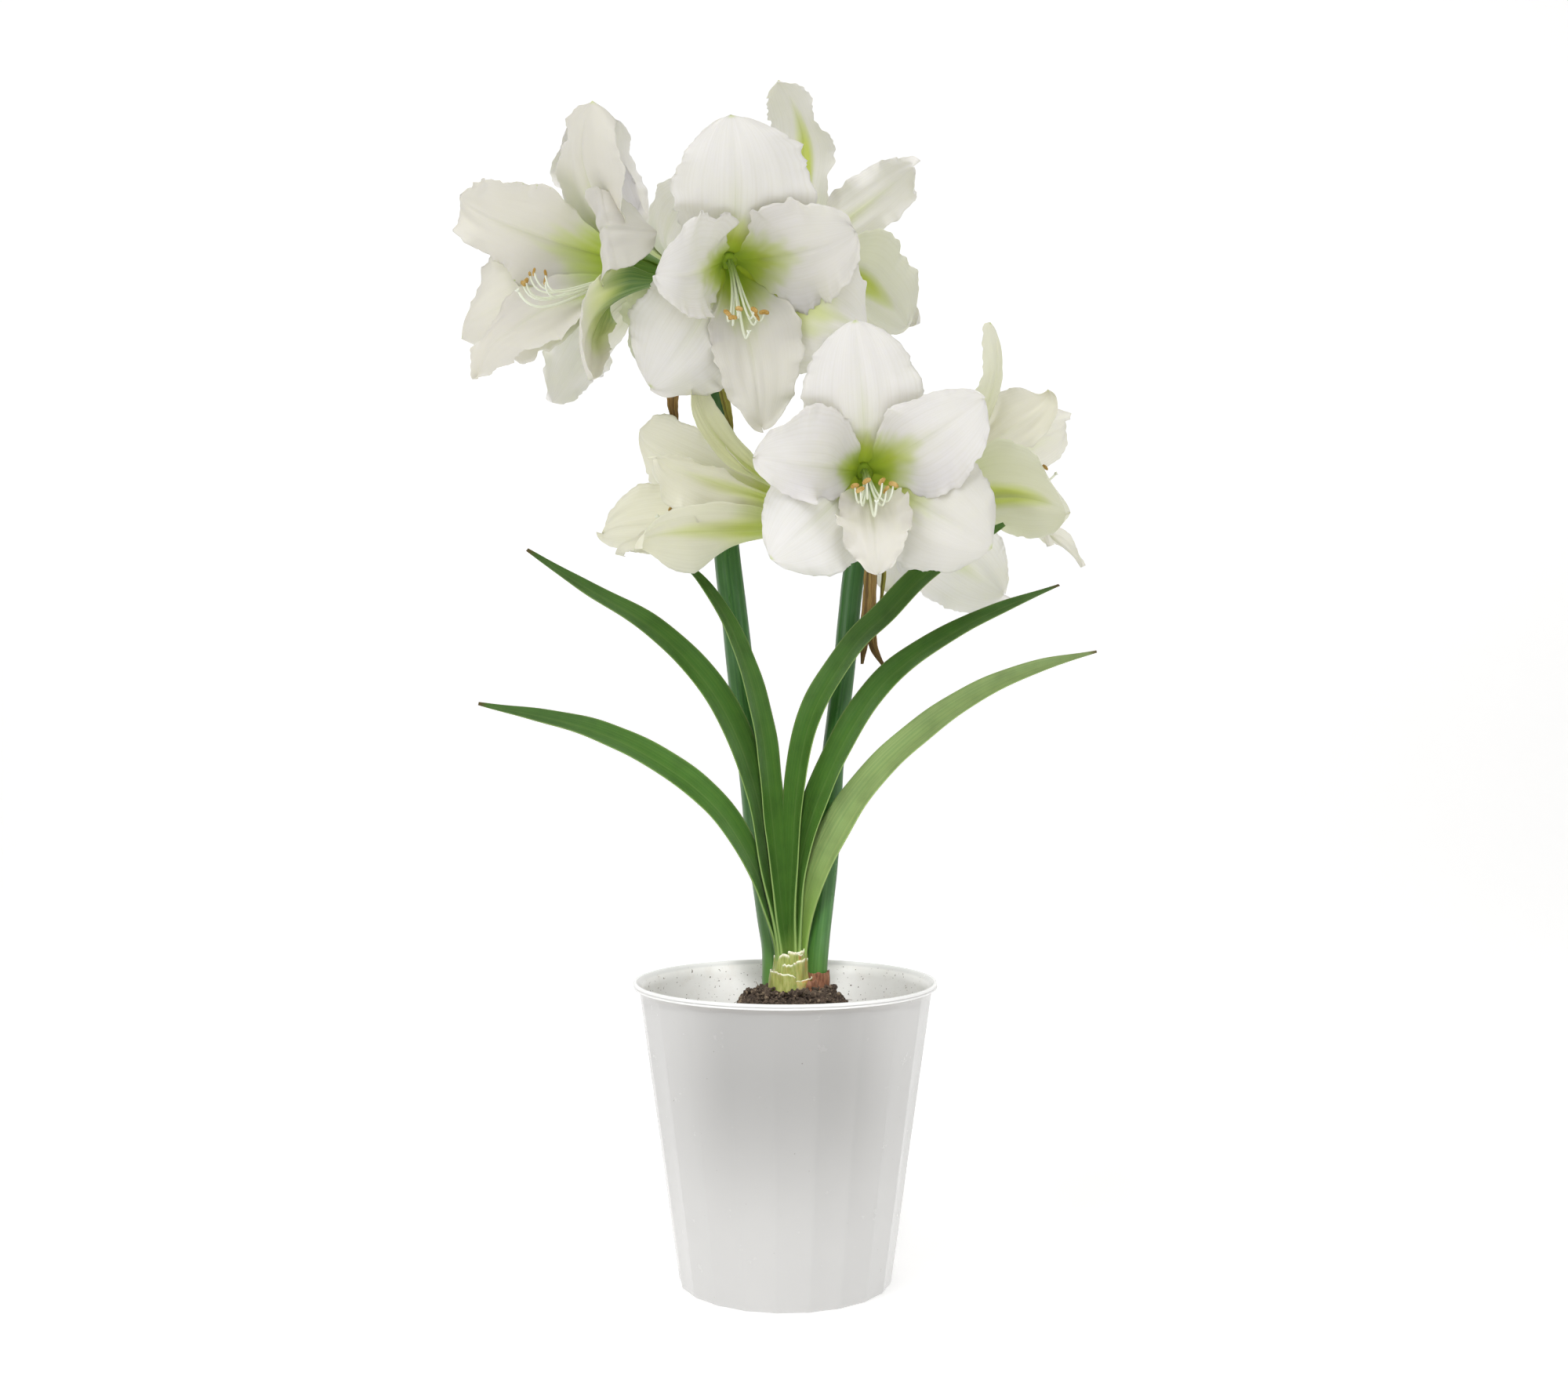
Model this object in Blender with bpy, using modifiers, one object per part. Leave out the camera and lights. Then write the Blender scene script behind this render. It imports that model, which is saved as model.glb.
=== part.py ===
"""Amaryllis in a pot: fluted pot, soil, bulb, six leaves, two scapes and eight blooms.

Sizes are in millimetres in the tables and in metres in the mesh. +Z is up, the pot stands on z = 0
and its axis is the Z axis. The viewer of the photograph stands on the -Y side.
"""
import math

import bmesh
import bpy
import numpy as np
from mathutils import Matrix, Vector

MM = 0.001
GAP = 0.3 * MM

# pot
POT_HEIGHT = 191 * MM
RIM_RADIUS = 96.8 * MM
WALL_TOP_RADIUS = 94.0 * MM
INNER_TOP = RIM_RADIUS - 4.2 * MM
BASE_RADIUS = 67.5 * MM
WALL = 2.2 * MM
FLOOR = 3.0 * MM
LIP_HEIGHT = 5.0 * MM
FLUTES = 21
FLUTE_DEPTH = 1.5 * MM
FLOOR_RADIUS = BASE_RADIUS - WALL - FLUTE_DEPTH

# soil and bulb
SOIL_EDGE = 155 * MM
HEAP_TOP = 187.5 * MM
HEAP_RADIUS = 37 * MM
BULB_FOOT = 98 * MM
NECK_TOP = 210 * MM
NECK_X = 3 * MM
NECK_RADIUS = 10.8 * MM
SOCKET_RADIUS = 9.7 * MM

# blooms
TUBE_RADIUS = 4.2 * MM
TEPAL_THICKNESS = 0.9 * MM
RUFFLE = 3.6 * MM
PLUG_TOP = 4.5 * MM
PLUG_FOOT = -1.0 * MM


def clear_scene():
    for thing in list(bpy.data.objects):
        bpy.data.objects.remove(thing, do_unlink=True)
    for group in list(bpy.data.collections):
        bpy.data.collections.remove(group)


def material(name, colour, roughness=0.5):
    mat = bpy.data.materials.new(name)
    mat.use_nodes = True
    shader = mat.node_tree.nodes["Principled BSDF"]
    shader.inputs["Base Color"].default_value = (*colour, 1.0)
    shader.inputs["Roughness"].default_value = roughness
    mat.diffuse_color = (*colour, 1.0)
    return mat


def new_object(name, mesh, group):
    thing = bpy.data.objects.new(name, mesh)
    group.objects.link(thing)
    return thing


def tube(name, path, radii, resolution, group):
    """Round rod along a path: a poly curve with a bevel, made a mesh with its caps welded."""
    radii = np.broadcast_to(np.asarray(radii, float), (len(path),))
    curve = bpy.data.curves.new(name, "CURVE")
    curve.dimensions = "3D"
    curve.bevel_depth = float(radii[0])
    curve.bevel_resolution = resolution
    curve.use_fill_caps = True
    spline = curve.splines.new("POLY")
    spline.points.add(len(path) - 1)
    for point, place, radius in zip(spline.points, path, radii):
        point.co = (*(float(x) for x in place), 1.0)
        point.radius = float(radius / radii[0])
    rod = new_object(name, curve, group)
    bpy.context.view_layer.update()
    graph = bpy.context.evaluated_depsgraph_get()
    mesh = bpy.data.meshes.new_from_object(rod.evaluated_get(graph))
    bpy.data.objects.remove(rod, do_unlink=True)
    return new_object(name, welded(mesh), group)


def welded(mesh):
    work = bmesh.new()
    work.from_mesh(mesh)
    bmesh.ops.remove_doubles(work, verts=work.verts, dist=0.00001)
    bmesh.ops.recalc_face_normals(work, faces=work.faces)
    work.to_mesh(mesh)
    work.free()
    return mesh


def turned(name, profile, sides, group):
    """Solid of revolution about Z: the profile of (radius, height) runs from top to foot."""
    profile = [(0.0, profile[0][1])] + list(profile) + [(0.0, profile[-1][1])]
    mesh = bpy.data.meshes.new(name)
    mesh.from_pydata([(r, 0.0, h) for r, h in profile], [(i, i + 1) for i in range(len(profile) - 1)], [])
    thing = new_object(name, mesh, group)
    screw = thing.modifiers.new("turn", "SCREW")
    screw.steps = screw.render_steps = sides
    screw.use_merge_vertices = True
    screw.merge_threshold = 0.00001
    return apply_modifiers(thing)


def stand(thing, base, axis):
    """Place a turned piece with its foot at a point and its Z axis along another axis."""
    thing.location = [float(x) for x in base]
    thing.rotation_mode = "QUATERNION"
    thing.rotation_quaternion = Vector([float(x) for x in axis]).to_track_quat("Z", "Y")
    return thing


def cylinder(name, x, y, radius, low, high, group, sides=12):
    mesh = bpy.data.meshes.new(name)
    work = bmesh.new()
    place = Matrix.Translation((x, y, (low + high) / 2))
    bmesh.ops.create_cone(work, cap_ends=True, segments=sides, radius1=radius, radius2=radius,
                          depth=high - low, matrix=place)
    work.to_mesh(mesh)
    work.free()
    return new_object(name, mesh, group)


def apply_modifiers(thing):
    bpy.context.view_layer.update()
    graph = bpy.context.evaluated_depsgraph_get()
    mesh = bpy.data.meshes.new_from_object(thing.evaluated_get(graph))
    thing.modifiers.clear()
    thing.data = mesh
    return thing


def sheet(name, grid, thickness, group):
    """Thin blade over a grid of points: triangles first, so both faces split alike."""
    rows, columns = grid.shape[:2]
    faces = []
    for i in range(rows - 1):
        for j in range(columns - 1):
            a, b = i * columns + j, i * columns + j + 1
            c, d = a + columns, b + columns
            faces += [(a, b, d), (a, d, c)] if 2 * j < columns - 1 else [(a, b, c), (b, d, c)]
    mesh = bpy.data.meshes.new(name)
    mesh.from_pydata(grid.reshape(-1, 3).tolist(), [], faces)
    thing = new_object(name, mesh, group)
    solid = thing.modifiers.new("blade", "SOLIDIFY")
    solid.thickness = thickness
    solid.offset = 0.0
    return apply_modifiers(thing)


def fuse(body, group):
    """One union of a body with all that a collection holds; the collection is emptied after."""
    join = body.modifiers.new("fuse", "BOOLEAN")
    join.operation = "UNION"
    join.solver = "MANIFOLD"
    join.operand_type = "COLLECTION"
    join.collection = group
    apply_modifiers(body)
    for thing in list(group.objects):
        bpy.data.objects.remove(thing, do_unlink=True)
    return keep_largest(body)


def keep_largest(body):
    """Drop the closed pockets and crumbs that a union leaves beside the one large skin."""
    work = bmesh.new()
    work.from_mesh(body.data)
    left, shells = set(work.verts), []
    while left:
        stack = [left.pop()]
        shell = set(stack)
        while stack:
            for edge in stack.pop().link_edges:
                for vert in edge.verts:
                    if vert in left:
                        left.remove(vert)
                        shell.add(vert)
                        stack.append(vert)
        shells.append(shell)
    shells.sort(key=lambda shell: (-len(shell), min(v.index for v in shell)))
    for shell in shells[1:]:
        bmesh.ops.delete(work, geom=list(shell), context="VERTS")
    work.to_mesh(body.data)
    work.free()
    return body


def carve(body, cutter):
    cut = body.modifiers.new("cut", "BOOLEAN")
    cut.operation = "DIFFERENCE"
    cut.solver = "EXACT"
    cut.object = cutter
    return apply_modifiers(body)


def unit(v):
    return v / np.linalg.norm(v, axis=-1, keepdims=True)


def ease(x, low, high):
    s = np.clip((x - low) / (high - low), 0.0, 1.0)
    return s * s * (3 - 2 * s)


def bezier(a, b, c, d, count):
    s = np.linspace(0, 1, count)[:, None]
    return (1 - s) ** 3 * a + 3 * (1 - s) ** 2 * s * b + 3 * (1 - s) * s ** 2 * c + s ** 3 * d


def smooth_path(knots, count):
    """Catmull-Rom curve through the knots, points evenly spaced along it."""
    k = np.asarray(knots, float)
    k = np.vstack([2 * k[0] - k[1], k, 2 * k[-1] - k[-2]])
    out = []
    for i in range(1, len(k) - 2):
        s = np.linspace(0, 1, 20, endpoint=False)[:, None]
        a, b, c, d = k[i - 1], k[i], k[i + 1], k[i + 2]
        out.append(0.5 * (2 * b + (c - a) * s + (2 * a - 5 * b + 4 * c - d) * s ** 2
                          + (3 * b - a - 3 * c + d) * s ** 3))
    dense = np.vstack(out + [k[-2:-1]])
    run = np.r_[0, np.cumsum(np.linalg.norm(np.diff(dense, axis=0), axis=1))]
    at = np.linspace(0, run[-1], count)
    return np.stack([np.interp(at, run, dense[:, i]) for i in range(3)], -1)


def bloom_axes(bloom):
    """Axis out of the mouth, the direction up across it, and the direction to its right."""
    t, n = math.radians(bloom["turn"]), math.radians(bloom["nod"])
    axis = np.array([math.sin(t) * math.cos(n), -math.cos(t) * math.cos(n), -math.sin(n)])
    up = unit(np.array([0, 0, 1.0]) - axis * axis[2])
    return axis, up, np.cross(up, axis)


def tepal_grid(bloom, tepal, rows, columns):
    """Points of one tepal: a midrib curve from the tube to the tip, and arcs across it.

    The arcs follow the tube at the root and open towards the tip. The margin is waved and rolls back.
    """
    axis, up, right = bloom_axes(bloom)
    base = np.array(bloom["base"]) * MM
    tip = np.array(tepal["tip"]) * MM
    throat, flare = bloom.get("throat", 40) * MM, bloom.get("flare", 0.2)
    out = tip - base - ((tip - base) @ axis) * axis
    reach = np.linalg.norm(out)
    out = out / reach
    across = np.cross(axis, out) * -1.0
    curl, bend = math.radians(tepal.get("curl", 15)), math.radians(tepal.get("bend", 0))
    arrive = math.cos(curl) * (math.cos(bend) * out - math.sin(bend) * across) - math.sin(curl) * axis
    curve = bezier(base + TUBE_RADIUS * out, base + throat * axis + (TUBE_RADIUS + flare * throat) * out,
                   tip - tepal.get("hold", 0.5) * reach * arrive, tip, 160)
    run = np.r_[0, np.cumsum(np.linalg.norm(np.diff(curve, axis=0), axis=1))]

    def point_at(s):
        return np.stack([np.interp(s * run[-1], run, curve[:, i]) for i in range(3)], -1)

    along = np.linspace(0, 1, rows)
    middle = point_at(along)
    tangent = unit(point_at(np.clip(along + 0.02, 0, 1)) - point_at(np.clip(along - 0.02, 0, 1)))
    rel = middle - base
    radial = rel - (rel @ axis)[:, None] * axis
    rho = np.linalg.norm(radial, axis=1)
    away = radial / rho[:, None]
    side = np.cross(away, axis)
    side = unit(side - (side * tangent).sum(1)[:, None] * tangent)
    inward = np.cross(tangent, side)
    inward *= np.sign((inward * (axis - away)).sum(1))[:, None]

    t = along[:, None]
    v = np.linspace(-1, 1, columns)[None, :]
    rho = rho[:, None]
    power = math.log(0.5) / math.log(tepal.get("peak", 0.56))
    shape = np.sin(np.pi * t ** power) ** 0.68
    half = tepal["breadth"] / 2 * MM * np.clip(shape, 0.02, 1) + 3.0 * MM * (1 - ease(t, 0, 0.15))
    cover = (0.9 + 0.6 * ease(t, 0.10, 0.36)) * rho
    half = (half ** -4 + cover ** -4) ** -0.25 * (1 + tepal.get("uneven", 0) * v)
    closed = np.clip((tangent @ axis)[:, None], 0, 1) / rho * (1 - 0.75 * ease(t, 0.25, 0.6))
    bow = np.maximum(closed, 1e-3)
    turn = bow * half * v
    lateral = np.sin(turn) / bow
    lift = (1 - np.cos(turn)) / bow
    layer = 1 if tepal.get("inner") else -1
    lift = lift + layer * MM * (1.2 + 3.4 * v ** 2 * ease(t, 0.1, 0.4))
    lift = lift - 0.15 * half * v ** 2 * ease(t, 0.45, 0.95)
    waves = np.sin(2 * np.pi * 3.3 * t + tepal.get("phase", 0) + np.where(v > 0, 1.7, 0))
    lift = lift + RUFFLE * np.abs(v) ** 2.2 * ease(t, 0.3, 0.6) * waves
    twist = math.radians(tepal.get("twist", 0)) * ease(t, 0.25, 0.9)
    side, inward = side[:, None, :], inward[:, None, :]
    wide = np.cos(twist)[..., None] * side + np.sin(twist)[..., None] * inward
    tall = np.cos(twist)[..., None] * inward - np.sin(twist)[..., None] * side
    return middle[:, None, :] + lateral[..., None] * wide + lift[..., None] * tall


def T(tip, breadth, inner=False, **more):
    """One tepal of a bloom: where its tip is, its full width, and which whorl it is of."""
    return dict(tip=tip, breadth=breadth, inner=inner, **more)


# blooms: where the tube starts, which way the mouth faces (turn about Z from the viewer, nod down),
# how far the stamens fall, lift and reach, and the six tepals
BLOOMS = {
    "bloom_lower_front": dict(
        base=(50, -2, 515), turn=2, nod=9, fall=25, lift=6, reach=76,
        tepals=[T((41, -90, 594), 74), T((118, -77, 549), 76, True, curl=20), T((125, -66, 461), 78),
                T((55, -77, 445), 52, True, curl=10), T((-9, -71, 454), 76),
                T((-18, -77, 514), 80, True, curl=20)]),
    "bloom_upper_front": dict(
        base=(-37, 22, 655), turn=10, nod=22, fall=31, lift=19, reach=84,
        tepals=[T((-32, -81, 718), 92, curl=25, uneven=0.12), T((42, -47, 656), 74, True, curl=25),
                T((47, -23, 601), 90), T((-18, -20, 541), 70, True, curl=10),
                T((-84, -34, 563), 84), T((-78, -62, 627), 74, True, curl=30)]),
    "bloom_upper_left": dict(
        base=(-76, 8, 643), turn=-54, nod=1, throat=50, fall=32, lift=18, reach=86,
        tepals=[T((-116, -66, 729), 84, curl=20, peak=0.5), T((-208, 13, 696), 62, True, curl=20, peak=0.48),
                T((-212, 24, 592), 88, peak=0.52), T((-145, -19, 557), 76, True, peak=0.5),
                T((-122, -36, 567), 80, curl=20, twist=35),
                T((-86, -50, 655), 92, True, curl=105, hold=1.5)]),
    "bloom_upper_right": dict(
        base=(-10, 35, 646), turn=125, nod=-36, fall=22, lift=8, reach=80,
        tepals=[T((-4, 29, 775), 60, curl=20), T((82, -5, 711), 56, True, curl=20), T((92, 75, 625), 66),
                T((60, 119, 618), 56, True), T((-12, 142, 645), 60, curl=20),
                T((-23, 117, 722), 60, True, curl=20)]),
    "bloom_upper_back": dict(
        base=(-66, 45, 645), turn=-150, nod=-30, fall=22, lift=8, reach=80,
        tepals=[T((-148, 40, 748), 66, curl=20), T((-110, 49, 748), 60, True, curl=20),
                T((-55, 99, 728), 62), T((-57, 154, 647), 56, True), T((-114, 142, 604), 60, curl=20),
                T((-167, 86, 644), 60, True, curl=20)]),
    "bloom_lower_left": dict(
        base=(12, 0, 486), turn=-76, nod=-8, flare=0.35, fall=12, lift=5, reach=84,
        tepals=[T((-56, -10, 567), 52, curl=20, twist=35), T((-96, 24, 543), 64, curl=10),
                T((-80, -4, 531), 64, True, curl=-20), T((-117, 20, 477), 60, True, curl=-10),
                T((-109, -10, 461), 56, curl=5), T((-96, -46, 460), 84, curl=0, twist=-14)]),
    "bloom_lower_right": dict(
        base=(85, 10, 497), turn=108, nod=-22, flare=0.3, gather=0.55, fall=14, lift=8, reach=80,
        tepals=[T((128, -7, 608), 62, curl=20, twist=28), T((177, 40, 568), 70, curl=10, twist=-25),
                T((189, 70, 557), 60, True, curl=10), T((193, 19, 458), 60, True, curl=20),
                T((179, -25, 487), 70, curl=0), T((128, 22, 454), 46, True, curl=20)]),
    "bloom_lower_back": dict(
        base=(56, 30, 500), turn=150, nod=0, fall=20, lift=8, reach=78,
        tepals=[T((127, 75, 578), 60, curl=20), T((146, 63, 441), 72, True, curl=20, bend=-20),
                T((73, 112, 443), 66), T((32, 129, 476), 56, True), T((32, 126, 553), 60, curl=20),
                T((75, 99, 582), 60, True, curl=20)]),
}

FRONT_BLOOMS = ("bloom_lower_front", "bloom_upper_front", "bloom_upper_left")

for bloom_number, one_bloom in enumerate(BLOOMS.values()):
    for tepal_number, one_tepal in enumerate(one_bloom["tepals"]):
        one_tepal.setdefault("phase", 1.3 * tepal_number + 0.7 * bloom_number)

# scapes: the way up from the bulb to the head, and the radius along it
SCAPES = {
    "scape_left": dict(
        path=[(-6, 22, 168), (-6, 22, 190), (-6.5, 22, 210), (-10, 22, 233), (-18, 21, 290), (-22, 21, 330),
              (-27, 21, 369), (-32, 21, 417), (-37, 21, 457), (-43, 22, 520), (-49, 21, 576)],
        radius=9.0, top_radius=8.4,
        blooms=["bloom_upper_left", "bloom_upper_front", "bloom_upper_right", "bloom_upper_back"]),
    "scape_right": dict(
        path=[(19.5, 12, 168), (19.5, 12, 190), (20.5, 12, 208), (24, 12, 240), (28, 12, 279), (31, 12, 333),
              (38, 12, 390), (42, 13, 432), (46, 13, 466)],
        radius=7.6, top_radius=7.0,
        blooms=["bloom_lower_front", "bloom_lower_left", "bloom_lower_right", "bloom_lower_back"]),
}

# leaves: midrib points, full width, how far the blade leans from edge-on at the tip, and the side
# that its hollow faces (1 for the left rank, -1 for the right rank)
LEAVES = {
    "leaf_left_low": dict(path=[(-3.4, 0, 190), (-4.4, 0, 210), (-10.5, -3, 234), (-20, -7, 262),
                                (-37, -12, 292), (-54, -16, 311), (-75, -22, 327), (-103, -28, 343),
                                (-136, -34, 355), (-189, -42, 367)], width=26, lean=36, hand=1),
    "leaf_left_mid": dict(path=[(-1.6, -1, 190), (-2.6, -2, 210), (-6, -3, 234), (-11.5, -4, 262),
                                (-18, -6, 306), (-33, -8, 350), (-53, -9, 383), (-84, -10, 414),
                                (-128, -12, 441), (-163, -14, 464)], width=27, lean=38, hand=1),
    "leaf_left_high": dict(path=[(0.4, -1, 190), (-0.6, -2, 210), (-3.2, -3, 234), (-5.6, -4, 262),
                                 (-10, -5, 305), (-15, -6, 348), (-24, -7, 386), (-38, -5, 421),
                                 (-56, 2, 448), (-74, 12, 462)], width=24, lean=34, hand=1),
    "leaf_right_high": dict(path=[(5.6, -1, 190), (5.0, -2, 210), (4.4, -3, 234), (5, -4, 262), (7, -6, 303),
                                  (12, -8, 340), (20, -10, 365), (32, -12, 386), (47, -14, 407),
                                  (64, -16, 423), (91, -20, 450), (137, -25, 479)],
                            width=26, lean=-36, hand=-1),
    "leaf_right_mid": dict(path=[(7.6, -1, 190), (7.3, -2, 210), (7.6, -4, 234), (9.5, -7, 262),
                                 (17, -11, 294), (30, -15, 327), (44, -18, 354), (61, -18, 378),
                                 (80, -18, 395), (105, -16, 411), (130, -14, 424), (173, -12, 442)],
                           width=26, lean=-36, hand=-1),
    "leaf_right_low": dict(path=[(9.4, 0, 190), (9.4, 0, 210), (12.6, -4, 236), (21, -12, 264),
                                 (35, -19, 292), (50, -23, 314), (66, -28, 332), (86, -32, 350),
                                 (109, -38, 367), (132, -42, 380), (157, -46, 390), (190, -52, 399)],
                           width=25, lean=-38, hand=-1),
}

# papery bracts that hang from the two heads: midrib points, full width, lean
SPATHES = {
    "spathe_upper_brown": dict(path=[(-60, 14, 572), (-65, 12, 560), (-68, 11, 548), (-68, 11, 530)],
                               width=11, lean=60),
    "spathe_upper_green": dict(path=[(-40, 11, 572), (-37, 8, 566), (-36, 8, 556), (-33, 8, 540)],
                               width=8, lean=55),
    "spathe_lower_brown": dict(path=[(54, 1, 462), (53, 0, 450), (52, -1, 432), (51, -1, 418), (50, -2, 404),
                                     (48, -3, 391)], width=11, lean=60),
    "spathe_lower_thread": dict(path=[(61, 10, 463), (63, 8, 452), (62, 8, 440), (61, 8, 428)],
                                width=3, lean=60),
}


def blade_grid(path, width, lean, hand, rows, columns, channel=0.13, root=0.34, point=0.05):
    """Strap-shaped blade: the width runs from edge-on towards face-on, with a shallow channel."""
    spine = smooth_path(np.asarray(path, float) * MM, rows)
    tangent = unit(np.gradient(spine, axis=0))
    depth = np.array([0.0, 1.0, 0.0])
    edge_on = unit(depth - (tangent @ depth)[:, None] * tangent)
    face_on = np.cross(edge_on, tangent)
    t = np.linspace(0, 1, rows)[:, None]
    v = np.linspace(-1, 1, columns)[None, :]
    angle = np.radians(lean[0] + (lean[1] - lean[0]) * ease(t, 0.12, 0.55))
    wide = np.cos(angle) * edge_on + np.sin(angle) * face_on
    tall = np.cross(tangent, wide)
    tall *= hand * np.sign(tall[0, 0])
    taper = root + (1 - root) * ease(t, 0.0, 0.38)
    taper = taper * (point + (1 - point) * np.sqrt(np.clip(1 - ease(t, 0.45, 1.02) ** 1.3, 0, 1)))
    half = width / 2 * MM * taper
    lift = channel * half * 2 * v ** 2
    across = (half * v)[..., None] * wide[:, None, :]
    return spine[:, None, :] + across + lift[..., None] * tall[:, None, :]


def flute_depth(height):
    """Depth of the flutes at a height: shallow at the foot, none at the lip."""
    share = height / POT_HEIGHT
    return FLUTE_DEPTH * (0.4 + 0.6 * min(1.0, share / 0.4)) * (1.0 if share < 0.97 else 0.0)


def build_pot(group):
    """Turned wall, floor and round lip; the wall is then pressed in between its ridges."""
    top = POT_HEIGHT
    profile = [(FLOOR_RADIUS, FLOOR), (FLOOR_RADIUS + 4 * MM, 30 * MM), (INNER_TOP, top - 0.8 * MM),
               (RIM_RADIUS - 1.4 * MM, top), (RIM_RADIUS, top - 0.5 * LIP_HEIGHT),
               (RIM_RADIUS - 0.6 * MM, top - LIP_HEIGHT + 0.4 * MM),
               (WALL_TOP_RADIUS - 0.2 * MM, top - LIP_HEIGHT)]
    for share in (0.965, 0.5, 0.006, 0.0):
        radius = BASE_RADIUS + (WALL_TOP_RADIUS - BASE_RADIUS) * share
        profile.append((radius if share else radius - 0.8 * MM, share * top))
    pot = turned("pot", profile, FLUTES * 2, group)
    for vert in pot.data.vertices:
        radius = math.hypot(vert.co.x, vert.co.y)
        wall = BASE_RADIUS - 1.0 * MM + (WALL_TOP_RADIUS - BASE_RADIUS) * vert.co.z / top
        if radius < wall or vert.co.z > 0.97 * top:
            continue
        share = (math.atan2(vert.co.y, vert.co.x) / (2 * math.pi) * FLUTES) % 1.0
        hollow = flute_depth(vert.co.z) * math.sin(math.pi * share) ** 0.8
        vert.co.xy *= (radius - hollow) / radius
    pot.rotation_euler.z = math.radians(4.0)
    return pot


def inner_radius(height):
    """Radius of the pot's inner wall at a height."""
    low, high = FLOOR_RADIUS, INNER_TOP
    if height < 30 * MM:
        return low + 4 * MM * (height - FLOOR) / (30 * MM - FLOOR)
    return low + 4 * MM + (high - low - 4 * MM) * (height - 30 * MM) / (POT_HEIGHT - 30.8 * MM)


def build_soil(group):
    """Body that fills the pot up to a low edge, with an uneven heap round the bulb's neck."""
    clear = 1.2 * MM
    profile = [(14 * MM, HEAP_TOP + 0.5 * MM), (28 * MM, HEAP_TOP - 0.5 * MM),
               (HEAP_RADIUS, HEAP_TOP - 6 * MM), (HEAP_RADIUS + 8 * MM, HEAP_TOP - 17 * MM),
               (60 * MM, SOIL_EDGE + 6 * MM), (inner_radius(SOIL_EDGE) - clear, SOIL_EDGE),
               (inner_radius(30 * MM) - clear, 30 * MM), (inner_radius(FLOOR) - clear, FLOOR + GAP)]
    soil = turned("soil", profile, 18, group)
    for vert in soil.data.vertices:
        if vert.co.z < SOIL_EDGE + 0.5 * MM:
            continue
        a, r = math.atan2(vert.co.y, vert.co.x), math.hypot(vert.co.x, vert.co.y) / MM
        vert.co.xy *= 1 + 0.05 * math.sin(2 * a + 0.6) + 0.04 * math.sin(7 * a)
        bump = 1.3 * math.sin(3 * a + 40 * r) + 1.1 * math.sin(5 * a + 1.3 + 0.2 * r)
        vert.co.z += bump * MM * min(1, r / 8)
    return soil


def bulb_skin(name, extra, sides, group):
    """Bulb and neck as one turned body whose neck stands a little to the right of the axis."""
    shape = [(12.5, 80), (16, 70), (23, 60), (31, 50), (36, 38), (37, 24), (33, 12), (24, 4), (12, -3)]
    profile = [(NECK_RADIUS + extra, NECK_TOP + extra), (NECK_RADIUS + extra, BULB_FOOT + 92 * MM)]
    profile += [(r * MM + extra, BULB_FOOT + h * MM - (extra if h < 0 else 0)) for r, h in shape]
    body = turned(name, profile, sides, group)
    for vert in body.data.vertices:
        vert.co.x += NECK_X * float(ease(vert.co.z, BULB_FOOT + 40 * MM, BULB_FOOT + 80 * MM))
    return body


def build_bulb(group, scratch):
    """Bulb with its root plate, stubs of roots, a neck and a socket for the leaves."""
    bulb = bulb_skin("bulb", 0.0, 16, group)
    for k in range(6):
        a = 2 * math.pi * k / 6 + 0.3
        x, y = 8 * MM * math.cos(a), 8 * MM * math.sin(a)
        foot = BULB_FOOT
        way = [(x, y, foot + 4 * MM), (1.6 * x, 1.6 * y, foot - 10 * MM), (3.0 * x, 3.0 * y, foot - 34 * MM)]
        tube("root", way, [1.8 * MM, 1.6 * MM, 0.9 * MM], 0, scratch)
    return fuse(bulb, scratch)


def umbel_parts(scape, scratch):
    """Head of the scape, a pedicel to each bloom and the seed case below it."""
    top = np.array(scape["path"][-1]) * MM
    r = scape["top_radius"] * MM
    head = turned("head", [(r * 0.5, 9 * MM), (r * 1.3, 3 * MM), (r * 1.25, -3 * MM), (r * 0.9, -9 * MM)],
                  8, scratch)
    stand(head, top, (0, 0, 1))
    for key in scape["blooms"]:
        bloom = BLOOMS[key]
        axis, up, right = bloom_axes(bloom)
        base = np.array(bloom["base"]) * MM
        foot = base + (PLUG_FOOT - GAP - 15 * MM) * axis
        profile = [(4.6 * MM, PLUG_FOOT - GAP), (5.8 * MM, -5 * MM), (4.6 * MM, -12 * MM), (2.4 * MM, -16 * MM)]
        seed_case = turned("seed_case", profile, 6, scratch)
        stand(seed_case, base, axis)
        span = np.linalg.norm(foot - top)
        start = unit(unit(foot - top) * 0.6 + np.array([0, 0, 0.7]))
        path = bezier(top, top + 0.45 * span * start, foot - 0.42 * span * axis, foot + 3 * MM * axis, 5)
        tube("pedicel", path, np.linspace(3.8, 3.0, 5) * MM, 0, scratch)


def build_scape(name, scape, group, scratch):
    path = smooth_path(np.array(scape["path"]) * MM, 9)
    radii = np.linspace(scape["radius"], scape["top_radius"], 9) * MM
    stem = tube(name, path, radii, 2, group)
    umbel_parts(scape, scratch)
    return fuse(stem, scratch)


def build_tepals(name, bloom, group, scratch, rows, columns):
    axis, up, right = bloom_axes(bloom)
    plug = turned(name, [(5.8 * MM, PLUG_TOP), (6.0 * MM, 1.2 * MM), (4.6 * MM, PLUG_FOOT)], 8, group)
    stand(plug, np.array(bloom["base"]) * MM, axis)
    for tepal in bloom["tepals"]:
        sheet("tepal", tepal_grid(bloom, tepal, rows, columns), TEPAL_THICKNESS, scratch)
    return fuse(plug, scratch)


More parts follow.
